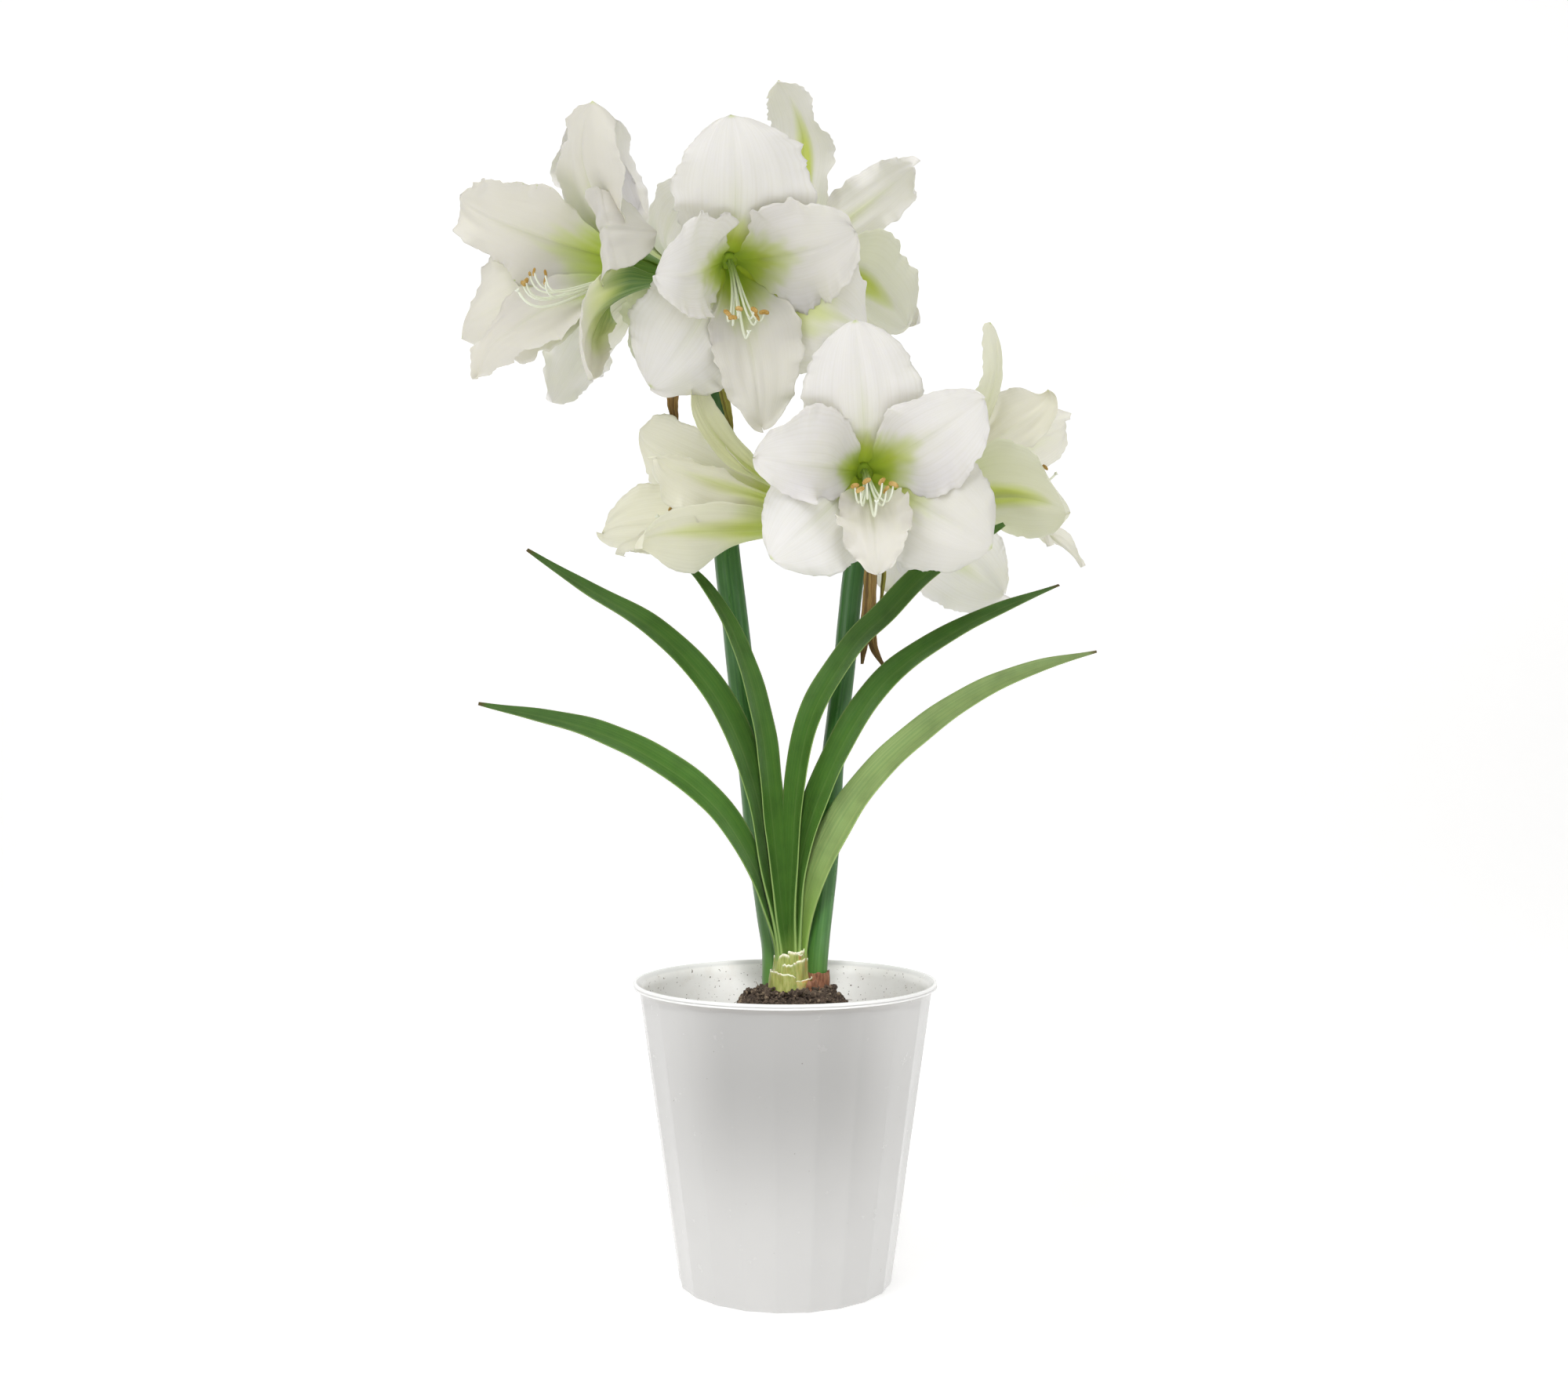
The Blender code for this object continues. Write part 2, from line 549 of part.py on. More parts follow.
def stamen_paths(bloom, count):
    """Six filaments and the style, which lie low in the throat and turn up at their ends."""
    axis, up, right = bloom_axes(bloom)
    base = np.array(bloom["base"]) * MM
    fall, lift, reach = bloom["fall"] * MM, bloom["lift"] * MM, bloom["reach"] * MM
    paths = []
    spread = [(12, 1, -1), (5, 3, 3), (-4, 3, 1), (-11, 0, 0), (-8, -2, 4), (8, -2, -3), (1, -9, 12)]
    for k, (aside, higher, longer) in enumerate(spread):
        aside *= bloom.get("gather", 1.0)
        a = 2 * math.pi * k / 6
        ring = 1.8 * MM if k < 6 else 0.0
        root = base + (PLUG_TOP + GAP + 0.6 * MM) * axis + ring * (math.cos(a) * right + math.sin(a) * up)
        end = base + (reach + longer * MM) * axis - (lift - higher * MM) * up + aside * MM * right
        low = base + (0.96 * reach) * axis - (fall * 1.25 - higher * MM) * up + 0.8 * aside * MM * right
        paths.append(bezier(root, base + 0.55 * reach * axis - 0.10 * fall * up, low, end, count))
    return paths


def build_stamens(name, bloom, group, scratch):
    axis, up, right = bloom_axes(bloom)
    base = np.array(bloom["base"]) * MM
    button = turned(name, [(2.8 * MM, PLUG_TOP + GAP + 1.6 * MM), (2.8 * MM, PLUG_TOP + GAP)], 6, group)
    stand(button, base, axis)
    paths = stamen_paths(bloom, 4)
    for path in paths[:6]:
        tube("filament", path, np.array([0.75, 0.75, 0.7, 0.65]) * MM, 0, scratch)
        tilt = unit(0.8 * right + 0.4 * axis)
        end = path[-1]
        ends = [end - 3.0 * MM * tilt, end, end + 3.0 * MM * tilt]
        tube("anther", ends, np.array([0.7, 1.5, 0.7]) * MM, 0, scratch)
    tube("style", paths[6], np.array([0.8, 0.8, 0.75, 0.7]) * MM, 0, scratch)
    end = paths[6][-1]
    way = unit(paths[6][-1] - paths[6][-2])
    tube("stigma", [end - 1.0 * MM * way, end + 1.6 * MM * way], np.array([0.8, 1.9]) * MM, 0, scratch)
    return fuse(button, scratch)


def build_neck_scales(group):
    """Cut scales round the neck: a sleeve with an uneven top edge."""
    around, levels = 14, 3
    foot = 191.5 * MM
    grid = np.zeros((levels, around + 1, 3))
    for j in range(around + 1):
        a = 2 * math.pi * j / around * 0.96 + 0.9
        top = 208 * MM + 3.0 * MM * math.sin(2 * a + 0.4) + 2.0 * MM * math.sin(5 * a)
        for i in range(levels):
            s = i / (levels - 1)
            r = NECK_RADIUS + 1.1 * MM + 0.9 * MM * (1 - s) + 0.4 * MM * math.sin(9 * s + 3 * a) * s
            grid[i, j] = (NECK_X + r * math.cos(a), r * math.sin(a), foot + (top - foot) * s)
    return sheet("neck_scales", grid, 0.8 * MM, group)


def dress(thing, mat):
    thing.data.materials.clear()
    thing.data.materials.append(mat)
    for face in thing.data.polygons:
        face.use_smooth = False
        face.material_index = 0


def main():
    clear_scene()
    parts = bpy.data.collections.new("amaryllis_in_pot")
    cutters = bpy.data.collections.new("cutters")
    scratch = bpy.data.collections.new("scratch")
    for group in (parts, cutters, scratch):
        bpy.context.scene.collection.children.link(group)

    white = material("pot_plastic", (0.80, 0.80, 0.79), 0.25)
    earth = material("soil_brown", (0.06, 0.035, 0.02), 0.95)
    scale_brown = material("bulb_skin", (0.45, 0.25, 0.12), 0.8)
    pale = material("neck_scale", (0.72, 0.72, 0.40), 0.7)
    leaf_green = material("leaf_green", (0.05, 0.16, 0.03), 0.4)
    stem_green = material("scape_green", (0.06, 0.20, 0.05), 0.4)
    petal_white = material("tepal_white", (0.88, 0.89, 0.82), 0.6)
    gold = material("stamen_gold", (0.80, 0.62, 0.30), 0.7)
    papery = material("spathe_paper", (0.45, 0.28, 0.10), 0.8)

    dress(build_pot(parts), white)

    bulb = build_bulb(parts, scratch)
    soil = build_soil(parts)
    room = bulb_skin("bulb_room", GAP, 16, cutters)
    carve(soil, room)
    carve(soil, cylinder("root_room", 0, 0, 34 * MM, BULB_FOOT - 38 * MM, BULB_FOOT + 6 * MM, cutters, 16))
    for name, scape in SCAPES.items():
        x, y, low = scape["path"][0]
        stem_room = cylinder(name + "_room", x * MM, y * MM, (scape["radius"] + 1.0) * MM, (low - 0.3) * MM,
                             215 * MM, cutters)
        carve(soil, stem_room)
        carve(bulb, stem_room)
    carve(bulb, cylinder("leaf_room", NECK_X, 0, SOCKET_RADIUS, 189 * MM, 230 * MM, cutters, 16))
    dress(soil, earth)
    dress(bulb, scale_brown)
    dress(build_neck_scales(parts), pale)

    for name, leaf in LEAVES.items():
        grid = blade_grid(leaf["path"], leaf["width"], (0, leaf["lean"]), leaf["hand"], 13, 3)
        dress(sheet(name, grid, 1.3 * MM, parts), leaf_green)
    for name, scape in SCAPES.items():
        dress(build_scape(name, scape, parts, scratch), stem_green)
    for name, spathe in SPATHES.items():
        grid = blade_grid(spathe["path"], spathe["width"], (spathe["lean"],) * 2, 1, 5, 3, 0.25, 1.0, 0.15)
        dress(sheet(name, grid, 0.9 * MM, parts), papery)
    for name, bloom in BLOOMS.items():
        rows, columns = (7, 4) if name in FRONT_BLOOMS else (6, 3)
        dress(build_tepals(name + "_tepals", bloom, parts, scratch, rows, columns), petal_white)
        dress(build_stamens(name + "_stamens", bloom, parts, scratch), gold)

    bpy.data.collections.remove(scratch)
    cutters.hide_render = True
    for thing in cutters.objects:
        thing.display_type = "WIRE"
        thing.hide_render = True


main()
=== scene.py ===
"""Amaryllis in a pot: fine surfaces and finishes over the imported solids.

Places and sizes are in millimetres until a mesh is made, which is in metres. Each surface is a grid of
points worked out as whole arrays: along and across a petal or a blade, or along and round a stem.
"""

import math

import bpy
import numpy as np
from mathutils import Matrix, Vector


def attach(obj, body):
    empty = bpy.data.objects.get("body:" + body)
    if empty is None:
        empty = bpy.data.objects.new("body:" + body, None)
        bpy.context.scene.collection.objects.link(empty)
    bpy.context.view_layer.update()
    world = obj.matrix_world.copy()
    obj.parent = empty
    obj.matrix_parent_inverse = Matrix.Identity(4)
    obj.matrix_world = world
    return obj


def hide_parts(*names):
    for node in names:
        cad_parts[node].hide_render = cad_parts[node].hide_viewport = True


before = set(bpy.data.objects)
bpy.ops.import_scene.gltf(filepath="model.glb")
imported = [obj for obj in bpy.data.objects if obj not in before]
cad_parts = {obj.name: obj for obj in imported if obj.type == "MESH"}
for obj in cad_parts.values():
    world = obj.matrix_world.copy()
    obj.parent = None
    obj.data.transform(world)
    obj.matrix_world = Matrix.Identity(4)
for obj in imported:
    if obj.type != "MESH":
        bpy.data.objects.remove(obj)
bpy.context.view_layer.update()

MM = 0.001

# camera: place in metres, lens in millimetres
CAMERA_PLACE = (-0.0008, -1.192, 0.3714)
CAMERA_LENS = 42.91

# pot
POT_HEIGHT = 191
WALL_TOP = 186.9
WALL_TOP_RADIUS = 94.0
BASE_RADIUS = 67.5
FLOOR_RADIUS = 63.8
FLOOR_TOP = 3.0
INNER_TOP_RADIUS = 91.9
INNER_FOOT = 30
FLUTES = 21
FLUTE_DEPTH = 1.5
FLUTE_TURN = math.radians(4)

# soil and neck
SOIL_EDGE = 155
HEAP_TOP = 184.5
HEAP_RADIUS = 31
HEAP_X = 4
CRUMBS = 1700
DRAWN_IN_CRUMBS = 600
LAST_LARGE_CRUMB = 120
LAST_SPREAD_CRUMB = 900
FIBRES = 70
NECK_X = 3
NECK_RADIUS = 10.8

# blooms, leaves and bracts
TUBE_RADIUS = 4.2
PETAL_THICKNESS = 0.55
RUFFLE = 3.6
PETAL_ROWS, PETAL_COLUMNS = 78, 41
THREAD_POINTS = 28
LEAF_ROWS, BRACT_ROWS, BLADE_COLUMNS = 220, 70, 25


# numbers and curves

def unit(v):
    """Vectors over their own lengths."""
    return v / np.linalg.norm(v, axis=-1, keepdims=True)


def pairs(*parts):
    """Arrays spread over one grid and stacked as the coordinates of its points."""
    return np.stack(np.broadcast_arrays(*parts), -1)


def ease(x, low, high):
    """0 below low, 1 above high, and a smooth step between: s squared times (3 - 2 s)."""
    s = np.clip((x - low) / (high - low), 0.0, 1.0)
    return s * s * (3 - 2 * s)


def ridge(v, width, centre=0.0):
    """Bell of height 1 about a centre: e to the power of minus ((v - centre) / width) squared."""
    return np.exp(-((v - centre) / width) ** 2)


def ripple(points, length, seed, waves=12):
    """Uneven value about 0: a sum of sines in seeded directions, about a length from crest to crest."""
    draw = np.random.default_rng(seed)
    points = np.asarray(points, float)
    way = unit(draw.normal(size=(waves, points.shape[-1]))) * draw.uniform(0.7, 1.5, (waves, 1))
    turn = points @ (way * 2 * math.pi / length).T + draw.uniform(0, 2 * math.pi, waves)
    return np.sin(turn).sum(-1) / math.sqrt(waves)


def round_angles(count):
    return np.linspace(0, 2 * math.pi, count, endpoint=False)


def bezier(a, b, c, d, count):
    """Cubic curve from a to d that leaves towards b and arrives from c."""
    s = np.linspace(0, 1, count)[:, None]
    return (1 - s) ** 3 * a + 3 * (1 - s) ** 2 * s * b + 3 * (1 - s) * s ** 2 * c + s ** 3 * d


def points_along(curve, shares):
    """Points at shares of a curve's length, from 0 at its start to 1 at its end."""
    run = np.r_[0, np.cumsum(np.linalg.norm(np.diff(curve, axis=0), axis=1))]
    return np.stack([np.interp(shares * run[-1], run, curve[:, i]) for i in range(3)], -1)


def smooth_path(knots, count):
    """Catmull-Rom curve through the knots, with its points evenly spaced along it."""
    k = np.asarray(knots, float)
    k = np.vstack([2 * k[0] - k[1], k, 2 * k[-1] - k[-2]])
    s = np.linspace(0, 1, 20, endpoint=False)[None, :, None]
    a, b, c, d = (k[i:len(k) - 3 + i, None, :] for i in range(4))
    dense = 2 * b + (c - a) * s + (2 * a - 5 * b + 4 * c - d) * s ** 2 + (3 * b - a - 3 * c + d) * s ** 3
    return points_along(np.vstack([0.5 * dense.reshape(-1, 3), k[-2:-1]]), np.linspace(0, 1, count))


def smooth_profile(knots, count):
    """Profile of (radius, height) smoothed by the same curve as a path."""
    return smooth_path(np.column_stack([knots, np.zeros(len(knots))]), count)[:, :2]


# meshes

def grid_faces(rows, columns, wrap=False, start=0, flip=False):
    """Four-cornered faces of a grid of points that is stored row by row."""
    row = start + columns * np.arange(rows - 1)[:, None]
    here = np.arange(columns if wrap else columns - 1)[None, :]
    after = (here + 1) % columns
    faces = [row + here, row + after, row + columns + after, row + columns + here]
    faces = np.stack(faces, -1).reshape(-1, 4)
    return faces[:, ::-1] if flip else faces


def ring_faces(rings, sides):
    """Faces of rings joined round, and a fan at each end to the two points stored after the rings."""
    ring, last, ends = np.arange(sides), (rings - 1) * sides, rings * sides
    after = np.roll(ring, -1)
    foot = np.stack([np.full(sides, ends), after, ring], -1)
    head = np.stack([np.full(sides, ends + 1), last + ring, last + after], -1)
    return [grid_faces(rings, sides, wrap=True), foot, head]


class Skin:
    """Points, faces, surface coordinates and named values of a piece, gathered shape by shape."""

    def __init__(self):
        self.points, self.faces, self.coords, self.values = [], [], [], {}
        self.count = 0

    def add(self, points, faces, coords=None, **values):
        points = points.reshape(-1, 3)
        self.faces += [f + self.count for f in faces]
        self.points.append(points)
        self.coords.append(np.zeros((len(points), 2)) if coords is None else coords.reshape(-1, 2))
        for key, value in values.items():
            self.values.setdefault(key, []).append(np.broadcast_to(value, len(points)))
        self.count += len(points)

    def build(self, name, finish, record_slot, nodes=(), smooth=True):
        """The mesh object: loops from the faces, a UV map from the coordinates, one attribute a value."""
        points = np.vstack(self.points) * MM
        sizes = np.concatenate([np.full(len(f), f.shape[1]) for f in self.faces])
        loops = np.concatenate([f.ravel() for f in self.faces]).astype(np.int32)
        mesh = bpy.data.meshes.new(name)
        mesh.vertices.add(len(points))
        mesh.vertices.foreach_set("co", points.ravel())
        mesh.loops.add(len(loops))
        mesh.loops.foreach_set("vertex_index", loops)
        mesh.polygons.add(len(sizes))
        mesh.polygons.foreach_set("loop_start", np.r_[0, np.cumsum(sizes)[:-1]].astype(np.int32))
        mesh.polygons.foreach_set("loop_total", sizes.astype(np.int32))
        mesh.update(calc_edges=True)
        mesh.polygons.foreach_set("use_smooth", np.full(len(sizes), smooth))
        coords = np.vstack(self.coords)
        mesh.uv_layers.new(name="surface").data.foreach_set("uv", coords[loops].ravel())
        for key, parts in self.values.items():
            mesh.attributes.new(key, "FLOAT", "POINT").data.foreach_set("value", np.concatenate(parts))
        mesh.materials.append(finish)
        thing = bpy.data.objects.new(name, mesh)
        bpy.context.scene.collection.objects.link(thing)
        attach(thing, "root")
        if nodes:
            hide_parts(*nodes)


def facing(grid, tall, *others):
    """Grid and its companions, mirrored across where the grid's normal points away from tall."""
    normal = np.cross(np.gradient(grid, axis=1), np.gradient(grid, axis=0))
    turned_away = (normal * tall).sum() < 0
    return [part[:, ::-1] if turned_away else part for part in (grid, *others)]


def shell(skin, grid, thickness, **values):
    """Closed blade round a grid: two faces half a thickness off the grid along its normal, and a rim.

    The normal is the cross product of the steps across and down the grid. Values for the two faces
    are given as a pair (front, back) or once for both.
    """
    rows, columns = grid.shape[:2]
    normal = np.cross(np.gradient(grid, axis=1), np.gradient(grid, axis=0))
    normal /= np.maximum(np.linalg.norm(normal, axis=-1, keepdims=True), 1e-9)
    off = normal * (np.broadcast_to(thickness, (rows, columns)) / 2)[..., None]
    size = rows * columns
    index = np.arange(size).reshape(rows, columns)
    rim = np.r_[index[0, :-1], index[:-1, -1], index[-1, :0:-1], index[:0:-1, 0]]
    after = np.roll(rim, -1)
    edge = np.stack([rim, after, after + size, rim + size], -1)
    faces = [grid_faces(rows, columns), grid_faces(rows, columns, start=size, flip=True), edge[:, ::-1]]
    coords = pairs(np.linspace(0, 1, columns)[None, :], np.linspace(0, 1, rows)[:, None])
    both = {}
    for key, value in values.items():
        faced = value if isinstance(value, tuple) else (value, value)
        both[key] = np.concatenate([np.broadcast_to(one, (rows, columns)).ravel() for one in faced])
    skin.add(np.stack([grid + off, grid - off]), faces, np.stack([coords, coords]), **both)


def add_rings(skin, body, ends, **values):
    """Rings of points joined round and closed by two end points, with values for all or for each ring."""
    rings, sides = body.shape[:2]
    coords = pairs(np.arange(sides)[None, :] / sides, np.linspace(0, 1, rings)[:, None]).reshape(-1, 2)
    along = {}
    for key, value in values.items():
        each = np.broadcast_to(np.asarray(value, float).reshape(-1, 1), (rings, sides))
        along[key] = np.r_[each.ravel(), each[0, 0], each[-1, 0]]
    skin.add(np.vstack([body.reshape(-1, 3), ends]), ring_faces(rings, sides),
             np.vstack([coords, [[0.5, 0], [0.5, 1]]]), **along)


def rod(skin, path, radii, sides, flat=1.0, lobes=0, lobe_depth=0.0, **values):
    """Ring carried along a path and closed by a point at each end.

    The ring is radius * (1 + depth * cos(lobes * angle)) in the plane across the path, whose first
    direction is the cross product with the world axis that the path runs along least. Its second
    direction is pressed by flat.
    """
    path = np.asarray(path, float)
    radii = np.broadcast_to(radii, (len(path),))[:, None, None]
    tangent = unit(np.gradient(path, axis=0))
    guide = np.eye(3)[np.argmin(np.abs(tangent).max(0))]
    one = unit(np.cross(tangent, guide))
    two = np.cross(tangent, one)
    a = round_angles(sides)[None, :, None]
    bulge = radii * (1 + lobe_depth * np.cos(lobes * a))
    body = path[:, None] + bulge * (np.cos(a) * one[:, None] + flat * np.sin(a) * two[:, None])
    add_rings(skin, body, path[[0, -1]], **values)


def place_turned(grid, base, axis):
    """Carry a shape turned about Z to a point and another axis."""
    axis = unit(np.asarray(axis, float))
    guide = np.array([0.0, 1, 0]) if abs(axis[1]) < 0.8 else np.array([1.0, 0, 0])
    one = unit(guide - (guide @ axis) * axis)
    return np.asarray(base) + grid @ np.stack([one, np.cross(axis, one), axis])


def turned(skin, profile, sides, base=(0, 0, 0), axis=(0, 0, 1), press=None, **values):
    """Profile of (radius, height), from foot to head, turned about an axis and closed on it.

    press, where given, changes the radii as a function of the radius, the height and the angle.
    """
    profile = np.asarray(profile, float)
    a = round_angles(sides)[None, :]
    r, h = (np.broadcast_to(profile[:, i:i + 1], (len(profile), sides)) for i in (0, 1))
    if press is not None:
        r = press(r, h, a)
    body = np.stack([r * np.cos(a), r * np.sin(a), h], -1)
    ends = np.array([[0, 0, profile[0, 1]], [0, 0, profile[-1, 1]]])
    add_rings(skin, place_turned(body, base, axis), place_turned(ends, base, axis), **values)


# finishes

def toned(colour, *factors):
    """Colour with its channels times three factors, or all of them times one."""
    return tuple(c * k for c, k in zip(colour, factors if len(factors) == 3 else factors * 3))


class Finish:
    """A node material that is put together step by step round one Principled shader."""

    def __init__(self, name, **sockets):
        self.material = bpy.data.materials.new(name)
        self.material.use_nodes = True
        self.tree = self.material.node_tree
        self.shader = self.tree.nodes["Principled BSDF"]
        for key, value in sockets.items():
            socket = key.replace("_", " ").title().replace("Ior", "IOR")
            self.shader.inputs[socket].default_value = value

    def link(self, source, target):
        self.tree.links.new(source, target)

    def node(self, kind, **settings):
        made = self.tree.nodes.new(kind)
        for key, value in settings.items():
            setattr(made, key, value)
        return made

    def value(self, key):
        """One of the piece's own named values."""
        return self.node("ShaderNodeAttribute", attribute_name=key).outputs["Fac"]

    def place(self):
        return self.node("ShaderNodeTexCoord").outputs["Object"]

    def noise(self, where, scale, detail, roughness):
        made = self.node("ShaderNodeTexNoise")
        self.link(where, made.inputs["Vector"])
        for key, number in (("Scale", scale), ("Detail", detail), ("Roughness", roughness)):
            made.inputs[key].default_value = number
        return made.outputs["Fac"]

    def streaks(self, across, along, detail=3.0, roughness=0.5):
        """Noise on the piece's own surface, stretched by its turns across and along."""
        stretch = self.node("ShaderNodeMapping")
        stretch.inputs["Scale"].default_value = (across, along, 1)
        self.link(self.node("ShaderNodeUVMap", uv_map="surface").outputs["UV"], stretch.inputs["Vector"])
        return self.noise(stretch.outputs["Vector"], 1.0, detail, roughness)

    def cloud(self, scale, detail=3.0, roughness=0.5):
        """Noise in the piece's space, so many turns to a metre."""
        return self.noise(self.place(), scale, detail, roughness)

    def span(self, source, low, high, to_low=0.0, to_high=1.0):
        """Smooth step of a value from one range to another."""
        made = self.node("ShaderNodeMapRange", interpolation_type="SMOOTHSTEP")
        self.link(source, made.inputs["Value"])
        for key, number in zip(("From Min", "From Max", "To Min", "To Max"), (low, high, to_low, to_high)):
            made.inputs[key].default_value = number
        return made.outputs["Result"]

    def times(self, a, b):
        made = self.node("ShaderNodeMath", operation="MULTIPLY")
        self.link(a, made.inputs[0])
        if isinstance(b, float):
            made.inputs[1].default_value = b
        else:
            self.link(b, made.inputs[1])
        return made.outputs["Value"]

    def mix(self, share, first, second):
        """Colour between two colours, each a socket or a triple; share is a socket."""
        made = self.node("ShaderNodeMix", data_type="RGBA")
        self.link(share, made.inputs["Factor"])
        for place, colour in ((6, first), (7, second)):
            if isinstance(colour, tuple):
                made.inputs[place].default_value = (*colour, 1.0)
            else:
                self.link(colour, made.inputs[place])
        return made.outputs[2]

    def colour(self, base, *coats):
        """Base colour: a first colour under coats, each a share and a colour."""
        for share, coat in coats:
            base = self.mix(share, base, coat)
        self.link(base, self.shader.inputs["Base Color"])

    def roughness(self, source):
        self.link(source, self.shader.inputs["Roughness"])

    def relief(self, height, depth, strength=0.5, under=None):
        """Bump of a depth in metres, over another bump where one is given."""
        made = self.node("ShaderNodeBump")
        made.inputs["Strength"].default_value = strength
        made.inputs["Distance"].default_value = depth
        self.link(height, made.inputs["Height"])
        if under is not None:
            self.link(under, made.inputs["Normal"])
        self.link(made.outputs["Normal"], self.shader.inputs["Normal"])
        return made.outputs["Normal"]


def petal_finish(name, white, lime):
    """Matte, thin petal: white, lime towards the throat, with veins along it and a crystalline sheen."""
    f = Finish(name, roughness=0.55, subsurface_weight=0.4, subsurface_scale=0.004,
               subsurface_radius=(1.0, 1.0, 0.6), sheen_weight=0.08)
    streaks, fine = f.streaks(50, 1.3, 4.0, 0.6), f.streaks(150, 2.5, 2.0)
    pale_lime = tuple(0.35 * w + 0.65 * c for w, c in zip(white, lime))
    f.colour(white,
             (f.span(streaks, 0.35, 0.75), toned(white, 0.945, 0.94, 0.91)),
             (f.span(f.cloud(38.0), 0.4, 0.85, 0.0, 0.5), toned(white, 0.98, 0.985, 0.90)),
             # painted shade: where grey is set, the white is darkened and greyed as though the petal stood
             # in shade
             (f.value("grey"), toned(white, 0.78, 0.765, 0.68)),
             (f.span(f.value("lime"), 0.0, 0.55), pale_lime),
             (f.span(f.value("lime"), 0.45, 1.0), lime),
             # partly the throat's own lime, partly a painted glow: the heart of the throat is painted
             # lighter than its shade, as though lit through the petals
             (f.value("deep"), (0.60, 0.80, 0.095)),
             (f.times(f.value("green"), f.span(streaks, 0.30, 0.62, 0.72, 1.0)), (0.060, 0.19, 0.012)),
             (f.times(f.value("rib"), f.span(streaks, 0.3, 0.7, 0.4, 1.0)), (0.44, 0.52, 0.14)))
    grain = f.relief(f.cloud(2600.0, 2.0), 0.00006, 0.35)
    ridges = f.relief(fine, 0.0002, 0.3, grain)
    f.relief(streaks, 0.0004, 0.3, ridges)
    return f.material


def leaf_finish(name, blade, root):
    """Satin strap leaf: parallel veins, a pale rim, a yellow-green root and a brown tip."""
    f = Finish(name, roughness=0.42, subsurface_weight=0.05, subsurface_scale=0.002,
               specular_ior_level=0.28)
    veins, mottle = f.streaks(46, 0.8, 3.0, 0.55), f.cloud(60.0, 4.0)
    f.colour(blade,
             (f.span(veins, 0.35, 0.75, 0.0, 0.6), toned(blade, 1.9, 1.5, 1.6)),
             (f.span(mottle, 0.35, 0.8, 0.0, 0.45), toned(blade, 0.55)),
             (f.value("root"), root),
             (f.value("pale"), (0.33, 0.46, 0.15)),
             (f.value("brown"), (0.12, 0.055, 0.02)))
    f.roughness(f.span(mottle, 0.3, 0.8, 0.34, 0.50))
    f.relief(f.cloud(900.0), 0.00008, 0.3, f.relief(veins, 0.0005))
    return f.material


def stem_finish():
    """Green flower stem under a thin waxy bloom, with fine lines along it."""
    f = Finish("scape_green", roughness=0.42, subsurface_weight=0.05, subsurface_scale=0.003,
               specular_ior_level=0.45)
    lines, wax = f.streaks(30, 1.2), f.streaks(3, 5, 5.0, 0.65)
    f.colour((0.042, 0.150, 0.030),
             (f.span(lines, 0.3, 0.75), (0.090, 0.245, 0.055)),
             (f.span(wax, 0.45, 0.8, 0.0, 0.4), (0.16, 0.30, 0.17)),
             (f.value("young"), (0.20, 0.38, 0.07)),
             (f.value("dark"), (0.012, 0.06, 0.014)))
    f.roughness(f.span(wax, 0.3, 0.8, 0.26, 0.46))
    f.relief(lines, 0.0004, 0.45, f.relief(f.cloud(1400.0, 2.0), 0.00006, 0.3))
    return f.material


def filament_finish():
    """Filaments and styles: waxy white, green at the foot."""
    f = Finish("filament_white", roughness=0.4, subsurface_weight=0.3, subsurface_scale=0.001,
               subsurface_radius=(1.0, 1.0, 0.9))
    f.colour((0.90, 0.92, 0.84),
             (f.streaks(5, 3), (0.80, 0.86, 0.66)),
             (f.value("green"), (0.45, 0.60, 0.20)))
    return f.material


def anther_finish():
    """Anthers dusted with pollen: golden grains over a tan body."""
    f = Finish("anther_pollen", roughness=0.85)
    grains = f.cloud(2200.0, 3.0, 0.7)
    f.colour((0.36, 0.19, 0.03),
             (f.span(grains, 0.35, 0.7), (0.62, 0.40, 0.10)),
             (f.span(f.cloud(260.0), 0.4, 0.8), (0.72, 0.52, 0.20)))
    f.relief(grains, 0.0004, 0.8)
    return f.material


